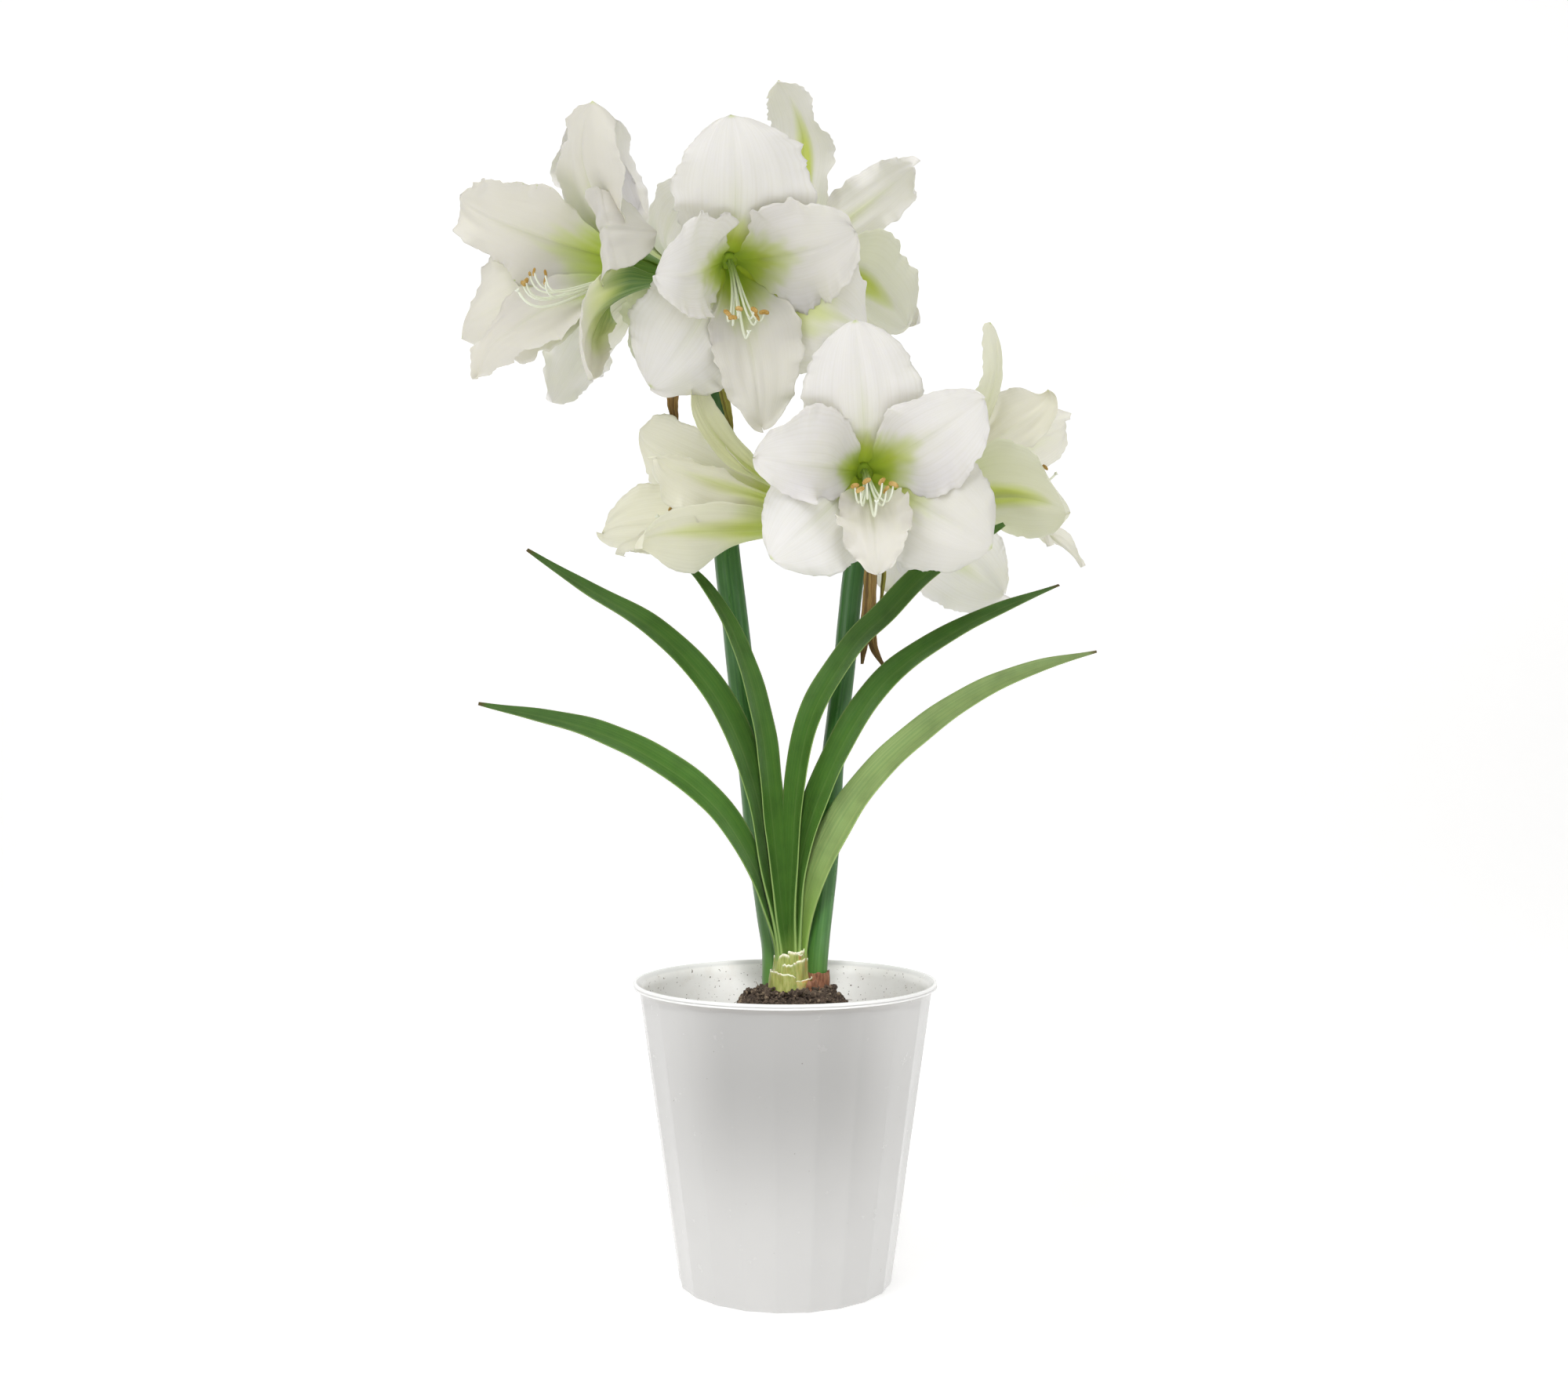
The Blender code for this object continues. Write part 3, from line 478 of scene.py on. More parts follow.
def pot_finish():
    """Glossy white-grey plastic, with crumbs stuck inside, a few marks outside, a line of painted shade
    below the lip, a painted highlight on the lip's beads and an inner wall painted lighter.

    The wall is painted darker towards its upper middle, a painted dark reflection: its share rises
    with the height and falls with the distance from the middle plane.
    """
    f = Finish("pot_plastic", roughness=0.2, coat_weight=0.25, coat_roughness=0.08)
    cloud, haze = f.cloud(9.0, 4.0), f.cloud(70.0, 5.0, 0.7)
    specks, marks = f.cloud(520.0, 2.0, 0.6), f.cloud(130.0, 1.0)
    split = f.node("ShaderNodeSeparateXYZ")
    f.link(f.place(), split.inputs["Vector"])
    off_middle = f.node("ShaderNodeMath", operation="ABSOLUTE")
    f.link(split.outputs["X"], off_middle.inputs[0])
    # painted dark reflection: the upper middle of the wall is painted darker
    painted_dark_reflection = f.times(f.span(split.outputs["Z"], 0.030, 0.150),
                   f.span(off_middle.outputs["Value"], 0.030, 0.080, 1.0, 0.35))
    # the inner wall is painted lighter than the outer plastic, standing in for light falling into the pot;
    # its dark specks are dirt
    inner = f.mix(f.span(haze, 0.45, 0.75, 0.0, 0.4), (0.95, 0.94, 0.92), (0.74, 0.69, 0.63))
    inner = f.mix(f.span(specks, 0.67, 0.71), inner, (0.10, 0.065, 0.04))
    f.colour((0.73, 0.725, 0.712),
             (f.span(cloud, 0.3, 0.75), (0.69, 0.686, 0.675)),
             (painted_dark_reflection, (0.44, 0.436, 0.427)),
             (f.value("inside"), inner),
             (f.times(f.span(specks, 0.72, 0.74), f.span(marks, 0.60, 0.70)), (0.20, 0.17, 0.15)),
             # painted highlight: the lip's beads are painted lighter, the groove between them less
             (f.value("bright"), (0.90, 0.90, 0.89)),
             # painted shade: a darker line on the wall just below the lip
             (f.times(f.value("grime"), f.span(haze, 0.3, 0.7, 0.35, 0.6)), (0.44, 0.41, 0.38)))
    f.roughness(f.span(haze, 0.3, 0.8, 0.15, 0.30))
    f.relief(cloud, 0.0010, 0.10)
    return f.material


def soil_finish():
    """Potting soil: near-black to mid brown crumbs, rough, with pale grit."""
    f = Finish("soil_brown", roughness=0.95)
    lumps, grit = f.cloud(420.0, 6.0, 0.7), f.cloud(1100.0, 4.0, 0.7)
    f.colour((0.018, 0.012, 0.008),
             (f.span(lumps, 0.3, 0.7), (0.125, 0.086, 0.062)),
             (f.span(grit, 0.56, 0.70, 0.0, 0.9), (0.36, 0.265, 0.190)),
             (f.value("tone"), (0.32, 0.24, 0.16)))
    f.relief(grit, 0.0008, 0.9, f.relief(lumps, 0.002, 0.7))
    return f.material


def scale_finish():
    """Cut bulb scales round the neck: yellow-green flesh, rusty patches and a cream cut edge."""
    f = Finish("neck_scale", roughness=0.5, subsurface_weight=0.15, subsurface_scale=0.003)
    streaks, patch = f.streaks(26, 1.5, 4.0, 0.6), f.cloud(95.0, 3.0, 0.6)
    f.colour((0.22, 0.29, 0.045),
             (f.span(streaks, 0.3, 0.7), (0.40, 0.42, 0.13)),
             (f.times(f.span(patch, 0.40, 0.58), f.value("rust")), (0.52, 0.26, 0.07)),
             (f.value("dry"), (0.78, 0.70, 0.50)),
             (f.value("edge"), (0.84, 0.80, 0.62)),
             (f.times(f.value("edge"), f.span(streaks, 0.58, 0.70)), (0.50, 0.34, 0.15)))
    f.relief(streaks, 0.0006, 0.6)
    return f.material


def tunic_finish():
    """Dry tunic of the bulb: thin, red-brown, with paler veins."""
    f = Finish("bulb_tunic", roughness=0.6)
    streaks = f.streaks(40, 2.0, 5.0, 0.65)
    f.colour((0.12, 0.035, 0.015),
             (f.span(streaks, 0.3, 0.75), (0.42, 0.20, 0.10)),
             (f.span(f.cloud(120.0, 4.0, 0.6), 0.5, 0.75, 0.0, 0.7), (0.60, 0.30, 0.17)))
    f.relief(streaks, 0.0008, 0.7)
    return f.material


def bract_finish(name, dry, fresh):
    """Papery bract: lengthwise creases from one tone to another, with a dark stripe and a dark tip."""
    f = Finish(name, roughness=0.62, subsurface_weight=0.1, subsurface_scale=0.002)
    streaks = f.streaks(22, 1.6, 5.0, 0.65)
    f.colour(dry,
             (f.span(streaks, 0.32, 0.7), fresh),
             (f.times(f.value("stripe"), 0.75), toned(dry, 0.4)),
             (f.times(f.value("tip"), 0.6), toned(dry, 0.6)))
    f.relief(streaks, 0.0009, 0.8)
    return f.material


# blooms
#
# A bloom has: base, where its tube starts; turn about Z from the viewer and nod down, the way that its
# mouth faces; throat and flare, how far and how wide the throat opens; fall, lift and reach of its
# stamens, with gather and aside, how close together and how far to the side they stand; fresh, how
# yellow-green it is; outside, how strong the bands of its back are; green, how far its back is dark
# green; deep, how wide the heart of its throat is lime with a painted glow, lighter
# than its shade; grey, how much painted shade greys it; and six petals.
# A petal has: its tip, full width and whorl; curl and bend, the degrees that its end turns back and
# aside; hold, how long its end keeps that way; peak, where it is widest; blunt, the power of its taper;
# uneven, how much one half is wider; frill, how waved its margin is; stand, how far it stays off the
# other whorl; twist and twisted, the degrees of a turn about its midrib and the stretch that turns;
# roll, the degrees that each margin rolls; and lime, band, rib, tint and grey, how far the throat's
# lime reaches and how strong the band, the rib, the lime all over and the painted shade are.

INNER = True


def tepal(tip, breadth, inner=False, **more):
    """One petal of a bloom: where its tip is, its full width, and which whorl it is of."""
    return dict(tip=tip, breadth=breadth, inner=inner, **more)


BLOOMS = {
    "bloom_lower_front": dict(
        base=(50, -2, 515), turn=2, nod=9, fall=25, lift=6, reach=76, fresh=0.0, flare=0.34,
        petals=[tepal((41, -90, 594), 74),
                tepal((118, -77, 549), 62, INNER, curl=20, lime=1.25, uneven=0.14),
                tepal((125, -66, 461), 78, lime=1.4, grey=0.5),
                tepal((55, -77, 445), 45, INNER, curl=10, frill=2.2, lime=0.6, peak=0.62, grey=0.9),
                tepal((-9, -71, 454), 76),
                tepal((-18, -77, 514), 60, INNER, curl=20, uneven=0.24, frill=1.5, lime=0.8)]),
    "bloom_upper_front": dict(
        base=(-37, 22, 655), turn=10, nod=22, flare=0.34, fall=31, lift=19, reach=84, fresh=0.05,
        petals=[tepal((-32, -81, 718), 92, curl=25, uneven=0.12, frill=1.7, lime=1.3),
                tepal((42, -47, 656), 72, INNER, curl=25, lime=1.3, frill=1.9, blunt=0.46, grey=0.3),
                tepal((52, -20, 600), 92, lime=2.4, frill=1.5),
                tepal((-15, -20, 541), 57, INNER, curl=10, frill=1.6, uneven=-0.15, lime=1.3, grey=0.6),
                tepal((-84, -34, 563), 84, frill=1.3),
                tepal((-78, -62, 627), 74, INNER, curl=30, uneven=0.2, frill=1.8)]),
    "bloom_upper_left": dict(
        base=(-76, 8, 643), turn=-54, nod=1, throat=50, flare=0.3, fall=32, lift=14, reach=96, fresh=0.05,
        outside=0.5, green=1.0, deep=1.5, grey=0.85,
        petals=[tepal((-117, -66, 731), 92, curl=20, peak=0.5, lime=1.5),
                tepal((-208, 13, 694), 64, INNER, curl=20, peak=0.46, lime=1.3, frill=2.0, blunt=0.65,
                      uneven=0.05),
                tepal((-212, 24, 605), 88, peak=0.5, lime=1.5, frill=1.2, blunt=0.75),
                tepal((-194, -8, 573), 64, INNER, curl=10, peak=0.48, lime=0.9, frill=1.4, blunt=0.8,
                      uneven=-0.2),
                tepal((-119, -64, 562), 72, curl=10, twist=-45, roll=(0, 155), frill=0.5),
                tepal((-78, -50, 656), 56, INNER, curl=105, bend=-22, hold=1.5, throat=76, uneven=0.05,
                      frill=0.7)]),
    "bloom_upper_right": dict(
        base=(-10, 35, 646), turn=125, nod=-36, fall=22, lift=8, reach=80, fresh=0.12,
        petals=[tepal((-4, 29, 775), 62, curl=20, band=1.5, tint=0.12, frill=1.3),
                tepal((80, -5, 707), 42, INNER, curl=20, blunt=0.4, frill=1.6, band=0.3, peak=0.46),
                tepal((92, 75, 625), 50),
                tepal((80, 50, 618), 98, INNER, lime=2.2, band=1.6, tint=0.38, frill=1.2, uneven=0.15,
                      blunt=0.45),
                tepal((-12, 142, 645), 60, curl=20),
                tepal((-23, 117, 722), 60, INNER, curl=20)]),
    "bloom_upper_back": dict(
        base=(-66, 45, 645), turn=-128, nod=-22, throat=48, fall=22, lift=8, reach=80, fresh=0.0,
        outside=0.3,
        petals=[tepal((-142, 55, 758), 66, curl=20),
                tepal((-112, 60, 757), 62, INNER, curl=20),
                tepal((-55, 99, 728), 62),
                tepal((-57, 154, 647), 56, INNER),
                tepal((-96, 62, 592), 62, curl=10, tint=0.5),
                tepal((-152, 32, 564), 60, INNER, curl=0, bend=-15, frill=1.6)]),
    "bloom_lower_left": dict(
        base=(12, 0, 486), turn=-76, nod=-8, flare=0.5, fall=12, lift=5, reach=80, gather=0.5, aside=-7,
        fresh=0.8,
        petals=[tepal((-57, -12, 580), 22, curl=0, twist=70, twisted=(0.0, 0.5), frill=0.3, throat=50,
                      tint=0.5),
                tepal((-96, 24, 545), 64, curl=10),
                tepal((-77, -56, 517), 49, INNER, curl=-20, uneven=0.32),
                tepal((-117, 20, 477), 60, INNER, curl=-10),
                tepal((-109, -10, 462), 30, curl=5),
                tepal((-94, -75, 459), 53, curl=-5, twist=-25, band=0.62, frill=0.4, blunt=1.0, peak=0.46,
                      uneven=0.2, tint=0.18, stand=4.0)]),
    "bloom_lower_right": dict(
        base=(85, 10, 497), turn=108, nod=-22, flare=0.4, gather=0.55, fall=14, lift=8, reach=87,
        fresh=0.45,
        petals=[tepal((131, -7, 609), 27, curl=10, twist=65, twisted=(0.0, 0.5), throat=52, tint=0.4,
                      frill=0.5),
                tepal((171, 25, 572), 50, grey=0.5, curl=10, twist=-60, band=0.1, rib=0.1, blunt=0.7,
                      uneven=0.2),
                tepal((187, 70, 557), 56, INNER, curl=10, lime=0.3),
                tepal((191, 19, 455), 18, INNER, curl=0, throat=20, frill=0.5),
                tepal((179, -25, 487), 80, curl=0, peak=0.44, band=1.2, rib=1.6, frill=0.4, uneven=0.17,
                      tint=0.42),
                tepal((168, 12, 468), 46, INNER, curl=10, blunt=1.0, frill=0.4)]),
    "bloom_lower_back": dict(
        base=(56, 30, 500), turn=150, nod=0, fall=20, lift=8, reach=78, fresh=0.05, outside=0.6,
        petals=[tepal((127, 75, 578), 60, curl=20),
                tepal((146, 63, 441), 74, INNER, curl=20, bend=-20, frill=1.3, band=1.0),
                tepal((73, 112, 443), 66),
                tepal((32, 129, 476), 56, INNER),
                tepal((32, 126, 553), 60, curl=20),
                tepal((75, 99, 582), 60, INNER, curl=20)]),
}
for bloom_number, one_bloom in enumerate(BLOOMS.values()):
    for petal_number, one_petal in enumerate(one_bloom["petals"]):
        one_petal["phase"] = 1.3 * petal_number + 0.7 * bloom_number
        one_petal["seed"] = 10 * bloom_number + petal_number


def bloom_axes(bloom):
    """Axis out of the mouth, the direction up across it, and the direction to its right."""
    t, n = math.radians(bloom["turn"]), math.radians(bloom["nod"])
    axis = np.array([math.sin(t) * math.cos(n), -math.cos(t) * math.cos(n), -math.sin(n)])
    up = unit(np.array([0, 0, 1.0]) - axis * axis[2])
    return axis, up, np.cross(up, axis)


def petal_midrib(bloom, petal, axis, base):
    """Points and directions along one petal's midrib, and its distance from the bloom's axis.

    The midrib is a cubic curve. It leaves the tube along the bloom's axis, opened by the flare, and
    arrives at the tip along the way out from the axis, turned back by curl and aside by bend. The
    side direction lies round the axis, and inward faces the mouth.
    """
    tip = np.array(petal["tip"], float)
    throat, flare = petal.get("throat", bloom.get("throat", 40)), bloom.get("flare", 0.2)
    out = tip - base - ((tip - base) @ axis) * axis
    reach = np.linalg.norm(out)
    out = out / reach
    across = -np.cross(axis, out)
    curl, bend = math.radians(petal.get("curl", 15)), math.radians(petal.get("bend", 0))
    arrive = math.cos(curl) * (math.cos(bend) * out - math.sin(bend) * across) - math.sin(curl) * axis
    curve = bezier(base + TUBE_RADIUS * out, base + throat * axis + (TUBE_RADIUS + flare * throat) * out,
                   tip - petal.get("hold", 0.5) * reach * arrive, tip, 400)
    share = 1 - (1 - np.linspace(0, 1, PETAL_ROWS)) ** 1.4
    middle, ahead, behind = (points_along(curve, np.clip(share + step, 0, 1))
                             for step in (0, 0.02, -0.02))
    tangent = unit(ahead - behind)
    radial = middle - base
    radial = radial - (radial @ axis)[:, None] * axis
    rho = np.linalg.norm(radial, axis=1)[:, None]
    away = radial / rho
    side = np.cross(away, axis)
    side = unit(side - (side * tangent).sum(1)[:, None] * tangent)
    inward = np.cross(tangent, side)
    inward *= np.sign((inward * (axis - away)).sum(1))[:, None]
    return share[:, None], middle, tangent, side, inward, rho


def petal_half_width(petal, t, v, rho, hem):
    """Half width at each point of a petal's grid.

    It is breadth / 2 * sin(pi * t ** power) ** 0.68 up to the peak, whose place sets the power, and
    the same sine to the power of blunt beyond it. It is held within the petal's share of the ring
    round the axis, as (width ** -4 + share ** -4) ** -0.25. The margin is nicked by three ripples.
    """
    power = math.log(0.5) / math.log(petal.get("peak", 0.56))
    swell = np.clip(np.sin(np.pi * t ** power), 0, 1)
    shape = np.where(t ** power < 0.5, swell ** 0.68, swell ** petal.get("blunt", 0.52))
    half = petal["breadth"] / 2 * np.clip(shape, 0.012, 1) + 3.0 * (1 - ease(t, 0, 0.15))
    if petal["inner"]:
        cover = (0.60 + 0.25 * ease(t, 0.12, 0.36) + 0.65 * ease(t, 0.36, 0.58)) * rho
    else:
        cover = (0.95 + 0.55 * ease(t, 0.10, 0.36)) * rho
    half = (half ** -4 + cover ** -4) ** -0.25 * (1 + petal.get("uneven", 0) * v)
    nick = sum(depth * ripple(hem, length, petal["seed"] + step)
               for depth, length, step in ((0.035, 24, 0), (0.020, 8, 500), (0.008, 3, 600)))
    return half * (1 + petal.get("frill", 1.0) * nick * np.abs(v) ** 6 * ease(t, 0.25, 0.5))


def petal_relief(petal, t, v, half, hem):
    """Height of each point of a petal's grid off the plain arc across its midrib.

    The inner whorl stands in from the outer one, and the margins rise towards their whorl's side and
    roll back further on. The margin is waved by a sine and three ripples of falling length. Soft
    folds run lengthwise, the midrib is a groove, and the open part is gently uneven.
    """
    margin, open_part = np.abs(v), ease(t, 0.3, 0.6)
    layer = 1 if petal["inner"] else -1
    lift = layer * (petal.get("stand", 1.2) + 3.4 * v ** 2 * ease(t, 0.1, 0.4))
    lift = lift - 0.15 * half * v ** 2 * ease(t, 0.45, 0.95)
    phase = petal["phase"] + np.where(v > 0, 1.7, 0)
    waves = 0.6 * RUFFLE * margin ** 2.2 * np.sin(2 * np.pi * 3.3 * t + phase)
    for height, power, length, step in ((1.7, 2.6, 26, 100), (1.0, 5, 9, 200), (0.45, 9, 3.6, 300)):
        waves = waves + height * margin ** power * ripple(hem, length, petal["seed"] + step)
    lift = lift + petal.get("frill", 1.0) * waves * open_part
    folds = np.sin(np.pi * (5.2 * v + 0.6 * np.sin(4 * t + phase))) * (1 - margin) ** 0.5
    lift = lift + 0.40 * folds * ease(t, 0.15, 0.4) * (1 - ease(t, 0.7, 1.0))
    lift = lift - 0.9 * ridge(v, 0.055) * ease(t, 0.1, 0.3) * (1 - ease(t, 0.8, 1.0))
    return lift + 0.55 * ripple(pairs(t * 90, v * 40), 30, petal["seed"] + 900) * open_part


def petal_grid(bloom, petal):
    """Points of one petal: arcs across its midrib, with the petal's relief on them.

    An arc follows the tube's round at the root and opens towards the tip: it bends by bow a
    millimetre. A rolled margin is the running sum of the cosine and sine of its roll. The twist turns
    each arc about the midrib. Also gives the shares along and across, the way that the relief rises,
    and each point's distance from the bloom's axis.
    """
    axis, base = bloom_axes(bloom)[0], np.array(bloom["base"], float)
    t, middle, tangent, side, inward, rho = petal_midrib(bloom, petal, axis, base)
    v = np.linspace(-1, 1, PETAL_COLUMNS)[None, :]
    hem = pairs(t * 100, np.sign(v) * 40)
    half = petal_half_width(petal, t, v, rho, hem)
    bow = np.clip((tangent @ axis)[:, None], 0, 1) / rho * (1 - 0.75 * ease(t, 0.25, 0.6))
    bow = np.maximum(bow, 1e-3)
    roll = np.radians(np.where(v < 0, *petal.get("roll", (0, 0))))
    roll = roll * ease(t, 0.25, 0.45) * ease(np.abs(v), 0.55, 0.80)
    step, centre = 2 / (PETAL_COLUMNS - 1), PETAL_COLUMNS // 2
    sums = (np.cumsum(part, axis=1) * step for part in (np.cos(roll), np.sign(v) * np.sin(roll)))
    flat, rolled = (part - part[:, centre:centre + 1] for part in sums)
    turn = bow * half * flat
    lateral = np.sin(turn) / bow
    lift = (1 - np.cos(turn)) / bow - half * rolled + petal_relief(petal, t, v, half, hem)
    twist = math.radians(petal.get("twist", 0)) * ease(t, *petal.get("twisted", (0.25, 0.9)))
    cos, sin = np.cos(twist)[..., None], np.sin(twist)[..., None]
    side, inward = side[:, None, :], inward[:, None, :]
    wide, tall = cos * side + sin * inward, cos * inward - sin * side
    grid = middle[:, None, :] + lateral[..., None] * wide + lift[..., None] * tall
    off_axis = grid - base
    off_axis = np.linalg.norm(off_axis - (off_axis @ axis)[..., None] * axis, axis=-1)
    return grid, t, v, tall, off_axis


def petal_tints(bloom, petal, t, v, off_axis):
    """Colour values of a petal from 0 to 1, as a pair (inner face, outer face) where they differ.

    Inside, lime fades out with the distance from the bloom's axis and reaches furthest along the
    midrib, and deep, the throat's lime with a painted glow lighter than its shade,
    fades out sooner. Outside, lime is a band along the midrib that narrows and fades towards the tip,
    over the bloom's fresh root, and green climbs from the root. The very tip and, by the petal's tint,
    the whole petal are lime too. The rib is a thin line along the midrib. Grey is painted shade.
    """
    uneven = 1 + 0.06 * ripple(pairs(t * 8, v * 6), 1.6, petal["seed"] + 300)
    reach = petal.get("lime", 1.0) * uneven * (27 + 10 * ridge(v, 0.38))
    inside = 1 - ease(off_axis, 0.18 * reach, reach)
    inside = np.maximum(inside, 0.16 * ridge(v, 0.3) * (1 - ease(t, 0.45, 0.9)))
    heart = bloom.get("deep", 1.0)
    # the heart of the throat: its own lime, with a painted glow lighter than its shade
    deep = 1 - ease(off_axis, 5 * heart, 21 * heart)
    shown = bloom.get("outside", 1.0)
    outside = petal.get("band", 0.5) * shown * ridge(v, 0.36 - 0.20 * t) * (1 - ease(t, 0.45, 1.0))
    outside = outside + (1 - ease(t, 0.10, 0.30 + 0.25 * shown)) * (0.5 + 0.4 * bloom["fresh"])
    point = (0.1 if petal["inner"] else 0.5) * ease(t, 0.975, 1.0) * ridge(v, 0.4)
    point = np.maximum(point, petal.get("tint", 0.0) * (1 - 0.6 * t))
    inside, outside = np.maximum(inside, point), np.clip(np.maximum(outside, point), 0, 1)
    green = bloom.get("green", 0.3)
    outside = np.maximum(outside, 0.8 * green * (1 - ease(t, 0.15 + 0.25 * green, 0.45 + 0.40 * green)))
    green = green * (1 - ease(t, 0.17 + 0.13 * green, 0.42 + 0.20 * green + 0.08 * np.cos(9 * v)))
    rib = ridge(v, 0.045) * (1 - ease(t, 0.55, 0.95))
    return dict(lime=(inside, outside), deep=(deep, 0.0), green=(0.0, green),
                # grey, set per petal or per bloom, is painted shade
                grey=petal.get("grey", bloom.get("grey", 0.0)),
                rib=(0.22 * rib, petal.get("rib", 0.45) * shown * rib))


def build_petals(name, bloom):
    """Six petals, thinner at margin and tip, and the short green tube that they rise from."""
    skin, fresh = Skin(), bloom["fresh"]
    for petal in bloom["petals"]:
        grid, t, v, tall, off_axis = petal_grid(bloom, petal)
        grid, v, off_axis = facing(grid, tall, v, off_axis)
        thickness = PETAL_THICKNESS * (1 - 0.65 * v ** 4) * (0.6 + 0.9 * (1 - ease(t, 0, 0.5)))
        shell(skin, grid, thickness, **petal_tints(bloom, petal, t, v, off_axis))
    tube = [(4.4, -1.2), (5.2, 0), (5.9, 2.5), (5.7, 5.5), (4.6, 7.5)]
    # the top of the tube takes the throat's lime with its painted glow
    turned(skin, tube, 24, bloom["base"], bloom_axes(bloom)[0], lime=0.9, deep=[0, 0, 0, 1, 1],
           green=bloom.get("green", 0.5) * np.array([1, 1, 1, 0.4, 0]), rib=0.0, grey=0.0)
    white = (0.895 - 0.06 * fresh, 0.87 - 0.055 * fresh, 0.83 - 0.24 * fresh)
    lime = (0.49 + 0.10 * fresh, 0.61 + 0.06 * fresh, 0.055 + 0.09 * fresh)
    finish = petal_finish(name + "_white", white, lime)
    skin.build(name + "_petals", finish, "tepal", [name + "_tepals"])


def stamen_paths(bloom):
    """Six filaments and the style: cubic curves that lie low in the throat and turn up at their ends."""
    axis, up, right = bloom_axes(bloom)
    base = np.array(bloom["base"], float)
    fall, lift, reach = bloom["fall"], bloom["lift"], bloom["reach"]
    spread = [(12, 1, -1), (5, 3, 3), (-4, 3, 1), (-11, 0, 0), (-8, -2, 4), (8, -2, -3), (1, -9, 12)]
    paths = []
    for k, (aside, higher, longer) in enumerate(spread):
        aside = aside * bloom.get("gather", 1.0) + bloom.get("aside", 0.0)
        a = 2 * math.pi * k / 6
        ring = 1.8 if k < 6 else 0.0
        root = base + 5.4 * axis + ring * (math.cos(a) * right + math.sin(a) * up)
        end = base + (reach + longer) * axis - (lift - higher) * up + aside * right
        low = base + 0.96 * reach * axis - (fall * 1.25 - higher) * up + 0.8 * aside * right
        paths.append(bezier(root, base + 0.55 * reach * axis - 0.10 * fall * up, low, end, THREAD_POINTS))
    return paths


def build_stamens(name, bloom):
    """Filaments and style in one piece, anthers in another.

    An anther is a two-lobed rod along a short bow, as thick as (1 - |u| ** 3.5) ** 0.5 along it. The
    style ends in three short lobes that bend away from it.
    """
    axis, up, right = bloom_axes(bloom)
    *filaments, style = stamen_paths(bloom)
    threads, pollen = Skin(), Skin()
    s = np.linspace(0, 1, THREAD_POINTS)
    u, w = np.linspace(-1, 1, 15)[:, None], np.linspace(0, 1, 7)[:, None]
    green = 0.7 * (1 - ease(s, 0.05, 0.4))
    fat = 1.15 * (1 - np.abs(u[:, 0]) ** 3.5) ** 0.5 + 0.1
    turned(threads, [(2.4, 4.6), (2.6, 5.4), (1.2, 6.4)], 16, bloom["base"], axis, green=1.0)
    draw = np.random.default_rng(int(1000 * abs(bloom["turn"])) + 7)
    for path in filaments:
        rod(threads, path, 0.95 - 0.4 * s, 8, green=green)
        aside, on, higher = (draw.uniform(*ends) for ends in ((0.3, 1.0), (-0.2, 0.8), (-0.6, 0.9)))
        tilt = unit(aside * right + on * axis + higher * up)
        bow = path[-1] + draw.uniform(2.6, 3.4) * u * tilt + (0.5 - 1.2 * u ** 2) * up
        rod(pollen, bow, fat, 10, flat=0.8, lobes=2, lobe_depth=0.16)
    rod(threads, style, 1.0 - 0.25 * s, 8, green=green)
    way = unit(style[-1] - style[-3])
    for k in range(3):
        a = 2 * math.pi * k / 3 + 0.5
        lobe = math.cos(a) * right + math.sin(a) * unit(np.cross(way, right))
        path = style[-1] + 1.4 * w * way + 1.7 * w ** 1.5 * lobe
        rod(threads, path, 0.7 * (1 - w[:, 0] ** 3) + 0.12, 8, green=0.0)
    threads.build(name + "_filaments", FINISHES["filament"], "stamen", [name + "_stamens"])
    pollen.build(name + "_anthers", FINISHES["anther"], "stamen")


# stems

SCAPES = {
    "scape_left": dict(
        path=[(-6, 22, 168), (-6, 22, 190), (-6.5, 22, 210), (-10, 22, 233), (-18, 21, 290),
              (-22, 21, 330), (-27, 21, 369), (-32, 21, 417), (-37, 21, 457), (-43, 22, 520),
              (-49, 21, 576)],
        radius=9.0, top_radius=8.4,
        blooms=["bloom_upper_left", "bloom_upper_front", "bloom_upper_right", "bloom_upper_back"]),
    "scape_right": dict(
        path=[(19.5, 12, 168), (19.5, 12, 190), (20.5, 12, 208), (24, 12, 240), (28, 12, 279),
              (31, 12, 333), (38, 12, 390), (42, 13, 432), (46, 13, 466)],
        radius=7.6, top_radius=7.0,
        blooms=["bloom_lower_front", "bloom_lower_left", "bloom_lower_right", "bloom_lower_back"]),
}


def three_lobes(r, h, a):
    """Radius swollen by 0.09 * cos(3 * angle), most at mid height."""
    return r * (1 + 0.09 * np.cos(3 * a) * np.sin(np.pi * ease(h, h.min(), h.max())))


